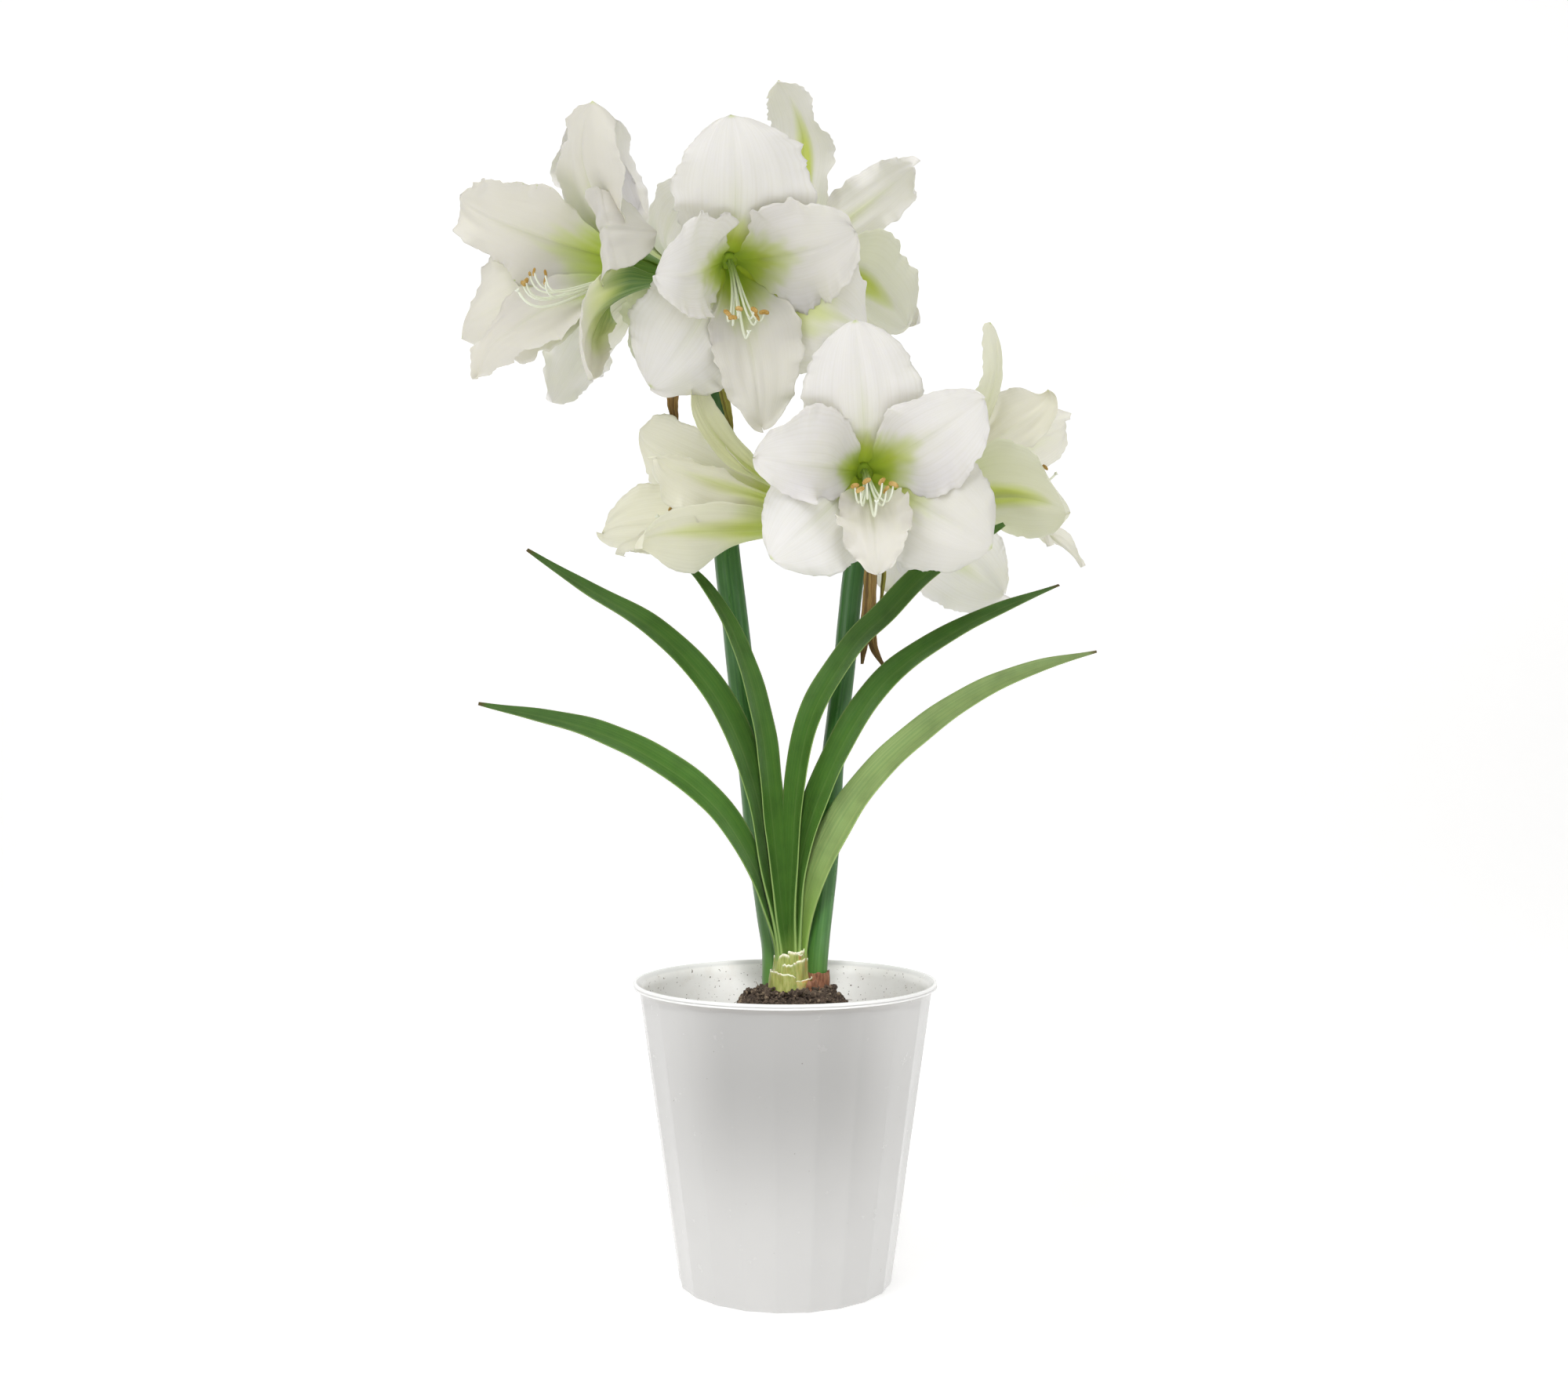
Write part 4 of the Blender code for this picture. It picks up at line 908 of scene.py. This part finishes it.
def build_scape(name, scape):
    """Stem with nine faint ribs, its head, and a pedicel and a three-lobed seed case to each bloom."""
    skin = Skin()
    rings = 150
    s = np.linspace(0, 1, rings)
    radii = scape["radius"] + (scape["top_radius"] - scape["radius"]) * s
    radii = radii * (1 + 0.012 * ripple(s[:, None] * 10, 1.3, 3))
    rod(skin, smooth_path(scape["path"], rings), radii, 48, lobes=9, lobe_depth=0.010,
        young=0.35 * (1 - ease(s, 0, 0.25)), dark=0.45 * ease(s, 0.2, 1.0))
    top, r = np.array(scape["path"][-1]), scape["top_radius"]
    head = [(r * 0.85, -10), (r * 1.12, -5), (r * 1.32, -1), (r * 1.28, 3), (r * 0.8, 7), (r * 0.3, 9)]
    turned(skin, smooth_profile(head, 20), 32, top, young=0.5, dark=0.0)
    case = [(2.6, -17), (3.6, -14), (5.2, -10), (5.9, -6), (5.2, -3), (4.5, -1.2)]
    for key in scape["blooms"]:
        axis, base = bloom_axes(BLOOMS[key])[0], np.array(BLOOMS[key]["base"])
        turned(skin, smooth_profile(case, 22), 30, base, axis, press=three_lobes, young=0.55, dark=0.0)
        foot = base - 16.3 * axis
        span = np.linalg.norm(foot - top)
        start = unit(unit(foot - top) * 0.6 + np.array([0, 0, 0.7]))
        path = bezier(top, top + 0.45 * span * start, foot - 0.42 * span * axis, foot + 3 * axis, 36)
        rod(skin, path, np.linspace(3.8, 3.0, 36), 20, young=0.45, dark=0.0)
    skin.build(name + "_stem", FINISHES["stem"], "scape", [name])


# leaves: midrib points, full width, lean of the blade from edge-on at the root and at the tip, side
# that the hollow faces, how far the pale root colour climbs, where the blade starts to narrow, and how
# brown its tip is
LEAVES = {
    "leaf_left_low": dict(
        path=[(-3.4, 0, 190), (-4.4, 0, 210), (-10.5, -3, 234), (-20, -7, 262), (-37, -12, 292),
              (-54, -16, 311), (-75, -22, 327), (-103, -28, 343), (-136, -34, 355), (-189, -42, 367)],
        width=26, lean=(28, 36), hand=1, pale=0.10),
    "leaf_left_mid": dict(
        path=[(-1.6, -1, 190), (-2.6, -2, 210), (-6, -3, 234), (-11.5, -4, 262), (-18, -6, 306),
              (-33, -8, 350), (-53, -9, 383), (-84, -10, 414), (-128, -12, 441), (-163, -14, 464)],
        width=27, lean=(34, 38), hand=1, pale=0.10),
    "leaf_left_high": dict(
        path=[(0.4, -1, 190), (-0.6, -2, 210), (-3.2, -3, 234), (-5.6, -4, 262), (-10, -5, 305),
              (-15, -6, 348), (-24, -7, 386), (-38, -5, 421), (-56, 2, 448), (-74, 12, 462)],
        width=24, lean=(36, 34), hand=1, pale=0.12),
    "leaf_right_high": dict(
        path=[(5.6, -1, 190), (5.0, -2, 210), (4.4, -3, 234), (5, -4, 262), (7, -6, 303), (12, -8, 340),
              (20, -10, 365), (32, -12, 386), (47, -14, 407), (64, -16, 423), (91, -20, 450),
              (137, -25, 479)],
        width=24, lean=(-30, -36), hand=-1, pale=0.12, narrow=0.80, brown=0.0),
    "leaf_right_mid": dict(
        path=[(7.6, -1, 190), (7.3, -2, 210), (7.6, -4, 234), (9.5, -7, 262), (17, -11, 294),
              (30, -15, 327), (44, -18, 354), (61, -18, 378), (80, -18, 395), (105, -16, 411),
              (130, -14, 424), (173, -12, 442)],
        width=26, lean=(-34, -36), hand=-1, pale=0.12),
    "leaf_right_low": dict(
        path=[(9.4, 0, 190), (9.4, 0, 210), (12.6, -4, 236), (21, -12, 264), (35, -19, 292),
              (50, -23, 314), (66, -28, 332), (86, -32, 350), (109, -38, 367), (132, -42, 380),
              (157, -46, 390), (190, -52, 399)],
        width=25, lean=(-58, -38), hand=-1, pale=0.34),
}


def blade_grid(path, width, lean, hand, rows, channel=0.13, root=0.42, point=0.05, narrow=0.45):
    """Strap-shaped blade: straight across its midrib curve, turned from edge-on by the lean.

    The half width is width / 2 times a taper, which widens from root and, past narrow, falls to point
    along a round end. The margins rise by channel times the width times v squared, so that the blade
    is a shallow gutter. Also gives the shares along and across, and the way that the margins rise.
    """
    spine = smooth_path(path, rows)
    tangent = unit(np.gradient(spine, axis=0))
    depth = np.array([0.0, 1.0, 0.0])
    edge_on = unit(depth - (tangent @ depth)[:, None] * tangent)
    face_on = np.cross(edge_on, tangent)
    t = np.linspace(0, 1, rows)[:, None]
    v = np.linspace(-1, 1, BLADE_COLUMNS)[None, :]
    angle = np.radians(lean[0] + (lean[1] - lean[0]) * ease(t, 0.12, 0.55))
    wide = np.cos(angle) * edge_on + np.sin(angle) * face_on
    tall = np.cross(tangent, wide)
    tall *= hand * np.sign(tall[0, 0])
    wide, tall = wide[:, None, :], tall[:, None, :]
    taper = root + (1 - root) * ease(t, 0.0, 0.38)
    taper = taper * (point + (1 - point) * np.sqrt(np.clip(1 - ease(t, narrow, 1.02) ** 1.3, 0, 1)))
    half = width / 2 * taper
    lift = channel * half * 2 * v ** 2
    return spine[:, None, :] + (half * v)[..., None] * wide + lift[..., None] * tall, t, v, tall


def build_leaf(name, leaf):
    """One blade: fleshy in the middle and at the root, thin at its gently waved margin."""
    skin = Skin()
    grid, t, v, tall = blade_grid(leaf["path"], leaf["width"], leaf["lean"], leaf["hand"], LEAF_ROWS,
                                  narrow=leaf.get("narrow", 0.45))
    wave = 0.25 * ripple(pairs(t * 30, v * 2), 5.0, len(name))
    grid, v = facing(grid + (wave * v ** 2)[..., None] * tall, tall, v)
    body = (1.3 + 2.2 * (1 - ease(t, 0.0, 0.35))) * (1 - 0.6 * ease(t, 0.85, 1))
    thickness = body * (0.28 + 0.72 * np.sqrt(np.clip(1 - np.abs(v) ** 3, 0, 1)))
    shell(skin, grid, thickness, root=0.8 * (1 - ease(t, 0.02, leaf["pale"])),
          pale=0.55 * ease(np.abs(v), 0.90, 1.0) + 0.12 * ridge(v, 0.06),
          brown=leaf.get("brown", 0.8) * ease(t, 0.978, 1.0))
    # the low right leaf takes a lighter copy of the leaf green: a painted reflection
    finish = FINISHES["leaf_painted_reflection" if name == "leaf_right_low" else "leaf"]
    skin.build(name + "_blade", finish, "leaf", [name])


# bracts: midrib points of each strip, full width, lean, how narrow the tip is, and finish
SPATHES = {
    "spathe_upper_brown": dict(
        paths=[[(-54, 18, 574), (-63, 15, 579), (-70, 13, 573), (-71.5, 12, 560), (-70.1, 11.5, 549)]],
        width=9.5, lean=60, point=0.4, finish="bract_brown"),
    "spathe_upper_green": dict(
        paths=[[(-42, 11, 580), (-41, 8, 569), (-38, 8, 556), (-33.7, 8, 540)]],
        width=6.5, lean=55, point=0.04, finish="bract_green"),
    "spathe_lower_brown": dict(
        paths=[[(54, 1, 462), (53, 0, 450), (52, -1, 432), (50.5, -1, 418), (49.5, -2, 404),
                (48.7, -3, 392.4)],
               [(54, 1, 462), (53.5, 0, 450), (53, -1, 432), (53.5, -1.5, 415), (56, -2.5, 402),
                (62.7, -4, 390.4)]],
        width=8.5, lean=60, point=0.12, finish="bract_brown"),
    "spathe_lower_thread": dict(
        paths=[[(61, 10, 463), (63, 8, 452), (62, 8, 440), (61, 8, 428)]],
        width=3, lean=60, point=0.12, finish="bract_green"),
}


def build_spathe(name, spathe):
    """Papery bract: blades with two lengthwise pleats, a crinkle and a narrowing tip."""
    skin = Skin()
    width, lean = spathe["width"], spathe["lean"]
    for path in spathe["paths"]:
        grid, t, v, tall = blade_grid(path, width, (lean, lean), 1, BRACT_ROWS, channel=0.25, root=1.0,
                                      point=spathe["point"])
        pleats = 0.5 * np.cos(np.pi * 4 * v + 2 * t) * (1 - 0.5 * t)
        crinkle = 0.25 * ripple(pairs(t * 40, v * 5), 6.0, len(name))
        grid = grid + ((pleats + crinkle) * min(1, width / 8))[..., None] * tall
        shell(skin, grid, 0.5, tip=ease(t, 0.6, 1.0), stripe=ridge(v, 0.16, 0.15))
    skin.build(name + "_bract", FINISHES[spathe["finish"]], "spathe", [name])


# pot

def wall_radius(z):
    """Outer radius of the wall, which widens evenly from its base."""
    return BASE_RADIUS + (WALL_TOP_RADIUS - BASE_RADIUS) * z / POT_HEIGHT


def inner_radius(z):
    """Inner radius of the wall, which widens evenly from its foot near the floor."""
    foot_radius, height = FLOOR_RADIUS + 4, POT_HEIGHT - INNER_FOOT - 0.8
    return foot_radius + (INNER_TOP_RADIUS - foot_radius) * (z - INNER_FOOT) / height


def build_pot():
    """Fluted wall, double-beaded lip, smooth inner wall and floor, turned as one closed profile.

    The two beads of the lip are arcs of flattened circles with a groove between them, and a line of
    painted shade lies below them. Each part of the profile says whether it is fluted, inside and bright;
    bright is a painted highlight, full on the beads and weaker in the groove, so that the groove reads as
    a darker line.
    """
    sole = [(0.5, 0.0), (BASE_RADIUS - 6, 0.0)]
    foot = [(BASE_RADIUS - 1.3, 0.0), (BASE_RADIUS - 0.3, 0.5)]
    wall = [(wall_radius(z), z) for z in np.linspace(1.4, WALL_TOP, 60)]
    lower = [(95.9 + 0.75 * math.cos(b), 188.0 + 0.6 * math.sin(b)) for b in np.linspace(-1.45, 1.2, 9)]
    upper = [(95.4 + 1.2 * math.cos(b), 189.85 + 1.15 * math.sin(b)) for b in np.linspace(-0.75, 3.0, 17)]
    inner = [(inner_radius(z), z) for z in np.linspace(188.0, INNER_FOOT, 30)]
    floor = [(FLOOR_RADIUS, FLOOR_TOP + 1), (FLOOR_RADIUS - 2, FLOOR_TOP), (0.5, FLOOR_TOP)]
    # the last share of each part is a painted highlight on the lip
    parts = [(sole, 0, 0, 0), (foot + wall, 1, 0, 0), ([(94.3, 187.3)], 0, 0, 0), (lower, 0, 0, 1),
             ([(95.5, 188.85)], 0, 0, 0.3), (upper, 0, 0, 1), (inner + floor, 0, 1, 0)]
    profile = np.array([point for part in parts for point in part[0]])
    fluted, inside, bright = (np.concatenate([np.full(len(part[0]), float(part[k])) for part in parts])
                              for k in (1, 2, 3))

    def flute(r, h, a):
        """Presses each flute in by depth * sin(pi * share) ** 0.8, where share runs over one flute."""
        share = ((a - FLUTE_TURN) / (2 * math.pi) * FLUTES) % 1.0
        up = h / POT_HEIGHT
        depth = FLUTE_DEPTH * (0.75 + 0.25 * ease(up, 0.1, 0.45) - 0.45 * ease(up, 0.7, 0.95))
        depth = depth * (1 - ease(up, 0.955, 0.985))
        return r - fluted[:, None] * depth * np.clip(np.sin(math.pi * share), 0, 1) ** 0.8

    skin = Skin()
    turned(skin, profile, FLUTES * 16, press=flute, inside=inside, bright=bright,
           # painted shade in a line on the wall just below the lip
           grime=fluted * ridge(profile[:, 1], 2.2, 187.0))
    skin.build("pot_body", FINISHES["pot"], "pot", ["pot"])


# soil

def heap_height(x, y):
    """Height of the soil: a low edge, a heap, and lumps of falling size from four ripples."""
    r = np.hypot(x - HEAP_X, y)
    a = np.arctan2(y, x - HEAP_X)
    r = r / (1 + 0.05 * np.sin(2 * a + 0.6) + 0.04 * np.sin(7 * a))
    reach = [0, 14, 24, HEAP_RADIUS, HEAP_RADIUS + 8, 60, 84, 100]
    level = [HEAP_TOP + 0.5, HEAP_TOP + 0.5, HEAP_TOP - 0.5, HEAP_TOP - 6, HEAP_TOP - 17,
             SOIL_EDGE + 6, SOIL_EDGE, SOIL_EDGE]
    h = np.interp(r, reach, level)
    for seed, (height, length) in enumerate(((1.2, 17), (0.9, 8), (0.55, 3.6), (0.3, 1.6)), 1):
        h = h + height * ripple(pairs(x, y), length, seed)
    return h


def on_heap(r, a, above):
    """Place a little above the soil, at a distance and an angle from the pot's axis."""
    x, y = r * math.cos(a), r * math.sin(a)
    return np.array([x, y, heap_height(x, y) + above])


def lump_shape():
    """Ball of 26 points and 30 faces: four rings of six between two poles."""
    a = np.arange(6) * math.pi / 3
    b = np.linspace(-1, 1, 6)[1:-1, None] * math.pi / 2
    body = pairs(np.cos(b) * np.cos(a), np.cos(b) * np.sin(a), np.sin(b)).reshape(-1, 3)
    return np.vstack([body, [[0, 0, -1], [0, 0, 1]]]), ring_faces(4, 6)


def build_soil():
    """Soil body, crumbs and fibres.

    The body is a polar grid over the heap, then the side and the bottom of what fills the pot. A
    crumb is a ball whose radius a ripple makes uneven and whose three axes are stretched. The first
    crumbs are large and drawn towards the middle, and the last ones lie on the heap alone.
    """
    around, rings = 300, 150
    edge = inner_radius(SOIL_EDGE) - 0.4
    a = round_angles(around)
    r = np.linspace(0.3, 1, rings)[:, None] * edge
    r[0] = 0.5
    x, y = r * np.cos(a), r * np.sin(a)
    lower = np.array([(0.5, 3.3), (FLOOR_RADIUS - 1.2, 3.3), (inner_radius(INNER_FOOT) - 1.2, INNER_FOOT)])
    side = pairs(lower[:, :1] * np.cos(a), lower[:, :1] * np.sin(a), lower[:, 1:])
    body = np.concatenate([side, pairs(x, y, heap_height(x, y))[::-1]])
    skin, crumbs, fibres = Skin(), Skin(), Skin()
    add_rings(skin, body, [body[0].mean(0), body[-1].mean(0)], tone=0.0)
    skin.build("soil_heap", FINISHES["soil"], "soil", ["soil"])

    draw = np.random.default_rng(11)
    ball, ball_faces = lump_shape()
    for k in range(CRUMBS):
        a, spread = draw.uniform(0, 2 * math.pi), math.sqrt(draw.uniform(0, 1))
        r = edge * 0.97 * spread ** (1.6 if k < DRAWN_IN_CRUMBS else 1.0)
        if k > LAST_SPREAD_CRUMB:
            r = (HEAP_RADIUS + 7) * math.sqrt(draw.uniform(0.05, 1))
        size = draw.uniform(0.7, 1.5) if k > LAST_LARGE_CRUMB else draw.uniform(1.6, 3.0)
        warp = 1 + 0.28 * ripple(ball, 1.6, 2000 + k, 6)
        stretch = draw.uniform(0.7, 1.3, 3)
        crumbs.add(on_heap(r, a, 0.3 * size) + ball * warp[:, None] * stretch * size, ball_faces,
                   tone=0.8 if draw.uniform() < 0.10 else draw.uniform(0, 0.18))
    crumbs.build("soil_crumbs", FINISHES["soil"], "soil", smooth=False)
    u = np.linspace(-1, 1, 9)[:, None]
    for k in range(FIBRES):
        start = on_heap(a=draw.uniform(0, 2 * math.pi), r=draw.uniform(20, 62), above=1.0)
        way, sag = unit(draw.normal(size=3) * [1, 1, 0.35]), unit(draw.normal(size=3))
        path = start + draw.uniform(2, 6) * u * way + 1.2 * u ** 2 * sag
        rod(fibres, path, 0.18, 5, tone=draw.uniform(0.3, 1.0))
    fibres.build("soil_fibres", FINISHES["soil"], "soil")


# bulb and neck

def build_bulb():
    """Bulb below the soil and its neck, faintly ribbed, with the roots' stubs under one papery skin."""
    shape = [(12, 95), (24, 102), (33, 110), (37, 122), (36, 136), (31, 148), (23, 158), (16, 168),
             (12.5, 178), (NECK_RADIUS, 185), (NECK_RADIUS - 1.5, 191), (NECK_RADIUS - 5, 193)]
    skin = Skin()
    turned(skin, smooth_profile(shape, 90), 72, press=lambda r, h, a: r + 0.25 * np.sin(17 * a + 0.05 * h))
    body = skin.points[0]
    body[:, 0] += NECK_X * ease(body[:, 2], 138, 178)
    for k in range(6):
        a = 2 * math.pi * k / 6 + 0.3
        x, y = 8 * math.cos(a), 8 * math.sin(a)
        knots = [(x, y, 102), (1.6 * x, 1.6 * y, 88), (3.0 * x, 3.0 * y, 64)]
        rod(skin, smooth_path(knots, 20), np.linspace(1.8, 0.9, 20), 8)
    skin.build("bulb_body", FINISHES["tunic"], "bulb", ["bulb"])


def sleeve(skin, centre, low, foot_radius, head_radius, top, arc, lean, thickness, seed,
           rust=0.0, dry=0.0, tilt=(0, 0)):
    """Scale round the neck: a grid over an arc of angles, from its foot up to an uneven cut edge.

    The edge is at top, raised by tilt[0] * cos(angle - tilt[1]) and two ripples. The radius runs from
    foot to head with a ripple, the scale leans aside as it rises, and its two sides are tucked in.
    """
    around, levels = 72, 26
    a = np.radians(np.linspace(*arc, around))
    s = np.linspace(0, 1, levels)[:, None]
    line = pairs(np.cos(a), np.sin(a))
    cut = top + tilt[0] * np.cos(a - math.radians(tilt[1]))
    cut = cut + 0.6 * ripple(line * 10, 9, seed) + 0.3 * ripple(line * 10, 2.4, seed + 40)
    r = foot_radius + (head_radius - foot_radius) * s
    r = r + 0.35 * ripple(pairs(np.cos(a) * 10, np.sin(a) * 10, 6 * s), 5, seed + 80)
    grid = pairs(centre[0] + r * np.cos(a) + lean * s, centre[1] + r * np.sin(a), low + (cut - low) * s)
    from_side = np.minimum(np.arange(around), np.arange(around)[::-1])
    grid[..., :2] -= 0.9 * (1 - np.minimum(1, from_side / 5.0))[:, None] * line
    shell(skin, grid[:, ::-1], thickness * (1 - 0.4 * s), edge=ease(s, 0.90, 0.965), rust=rust,
          dry=dry * (1 - ease(s, 0.1, 0.6)))


def build_neck():
    """Layers of cut scales round the leaf bases, and the dry tunic at the foot of the right stem."""
    neck, tunic, c = Skin(), Skin(), (NECK_X, 0)
    sleeve(neck, c, 189, 11.2, 9.9, 210.0, (-100, 90), 0.4, 1.0, 5, tilt=(1.5, 0))
    sleeve(neck, c, 188, 11.8, 9.6, 206.0, (150, 275), -0.4, 1.0, 9, tilt=(2.5, -90))
    sleeve(neck, c, 197, 10.9, 10.4, 208.5, (-62, -12), 0.4, 0.6, 51, rust=1.0)
    sleeve(neck, c, 187, 12.3, 10.8, 201.5, (-175, 30), 0.0, 0.9, 14, rust=0.2, tilt=(3.5, -25))
    sleeve(neck, c, 185, 13.4, 12.0, 195.0, (130, 300), -0.6, 0.9, 21, rust=0.1, tilt=(2.5, 190))
    sleeve(neck, c, 185, 13.2, 12.6, 192.5, (-80, 150), 0.8, 0.8, 27, rust=0.8, dry=0.5)
    neck.build("neck_scale_layers", FINISHES["scale"], "neck_scales", ["neck_scales"])
    sleeve(tunic, (18.5, 9.5), 182, 10.2, 9.3, 195.5, (-175, 20), 0.4, 0.5, 33)
    sleeve(tunic, (12.5, -1.0), 183, 8.6, 7.2, 191.5, (-130, 30), 0.2, 0.5, 37)
    tunic.build("bulb_tunic", FINISHES["tunic"], "bulb")


# stage, lights and camera, in metres

def link_object(name, data):
    thing = bpy.data.objects.new(name, data)
    bpy.context.scene.collection.objects.link(thing)
    return thing


def build_stage():
    """Pale sweep: a floor that turns up into a wall behind, in one smooth curve.

    Its run is 0.45 floor, 0.25 quarter turn of 0.9 m radius, and the rest upright.
    """
    rows = 60
    s = np.linspace(0, 1, rows)
    turn = np.clip((s - 0.45) / 0.25, 0, 1) * math.pi / 2
    y = np.where(s < 0.45, -3.2 + s / 0.45 * 4.4, 1.2 + 0.9 * np.sin(turn))
    z = np.where(s < 0.45, 0, 0.9 * (1 - np.cos(turn)) + np.clip(s - 0.70, 0, 1) / 0.30 * 3.0)
    grid = pairs(np.array([[-4.0, 4.0]]), y[:, None], z[:, None])
    mesh = bpy.data.meshes.new("pale_sweep")
    mesh.from_pydata(grid.reshape(-1, 3).tolist(), [], grid_faces(rows, 2).tolist())
    mesh.polygons.foreach_set("use_smooth", np.full(rows - 1, True))
    paint = Finish("sweep_paint", roughness=0.9, base_color=(0.93, 0.93, 0.93, 1),
                   specular_ior_level=0.1, emission_color=(1, 1, 1, 1), emission_strength=0.35)
    mesh.materials.append(paint.material)
    sweep = link_object("pale_sweep", mesh)


def hang(lamp, place, target):
    """Hang a lamp at a place and turn it to a target."""
    thing = link_object(lamp.name, lamp)
    thing.location = place
    thing.rotation_euler = (Vector(target) - Vector(place)).to_track_quat("-Z", "Y").to_euler()


def soft_light(name, place, target, size, power):
    """Rectangular area lamp of a width and height."""
    lamp = bpy.data.lights.new(name, "AREA")
    lamp.energy, lamp.shape = power, "RECTANGLE"
    lamp.size, lamp.size_y = size
    hang(lamp, place, target)


def soft_spot(name, place, target, radius, angle, power):
    """Spot lamp of a radius, with a cone of an angle in degrees that is soft all through."""
    lamp = bpy.data.lights.new(name, "SPOT")
    lamp.energy, lamp.shadow_soft_size = power, radius
    lamp.spot_size, lamp.spot_blend = math.radians(angle), 1.0
    hang(lamp, place, target)


def build_studio():
    """Soft key from the left, a broad fill from the right, light from above and a bright room.

    Two narrow spots light the pot's inner wall past the stems.
    """
    scene = bpy.context.scene
    soft_light("key", (-2.0, -1.9, 1.5), (0, 0, 0.42), (1.3, 1.8), 17)
    soft_light("fill", (2.0, -1.6, 1.1), (0, 0, 0.40), (1.4, 1.6), 9)
    soft_light("top", (-0.2, -1.0, 2.3), (0, 0, 0.3), (1.6, 1.6), 19)
    for side in (-1, 1):
        soft_spot("pot_light", (0.08 * side, -1.0, 1.07), (0.05 * side, 0.085, 0.180), 0.10, 10, 52)
    world = bpy.data.worlds.new("room")
    scene.world = world
    world.use_nodes = True
    room = world.node_tree.nodes["Background"].inputs
    room["Color"].default_value, room["Strength"].default_value = (1.0, 0.985, 0.96, 1), 0.34
    scene.view_settings.view_transform = "Standard"
    lens = bpy.data.cameras.new("camera")
    lens.lens, lens.sensor_width = CAMERA_LENS, 36
    camera = link_object("camera", lens)
    camera.location = CAMERA_PLACE
    camera.rotation_euler = (math.pi / 2, 0, 0)
    scene.camera = camera


FINISHES = {
    "leaf": leaf_finish("leaf_green", (0.056, 0.147, 0.022), (0.30, 0.44, 0.10)),
    # lighter copy of the leaf green, a painted reflection, for the low right leaf
    "leaf_painted_reflection": leaf_finish("leaf_green_painted_reflection", (0.200, 0.305, 0.105), (0.24, 0.42, 0.06)),
    "stem": stem_finish(),
    "filament": filament_finish(),
    "anther": anther_finish(),
    "pot": pot_finish(),
    "soil": soil_finish(),
    "scale": scale_finish(),
    "tunic": tunic_finish(),
    "bract_brown": bract_finish("bract_brown", (0.20, 0.11, 0.03), (0.50, 0.33, 0.10)),
    "bract_green": bract_finish("bract_green", (0.34, 0.27, 0.05), (0.42, 0.46, 0.10)),
}

build_stage()
build_studio()
build_pot()
build_soil()
build_bulb()
build_neck()
for leaf_name, one_leaf in LEAVES.items():
    build_leaf(leaf_name, one_leaf)
for scape_name, one_scape in SCAPES.items():
    build_scape(scape_name, one_scape)
for spathe_name, one_spathe in SPATHES.items():
    build_spathe(spathe_name, one_spathe)
for bloom_name, one_bloom in BLOOMS.items():
    build_petals(bloom_name, one_bloom)
    build_stamens(bloom_name, one_bloom)
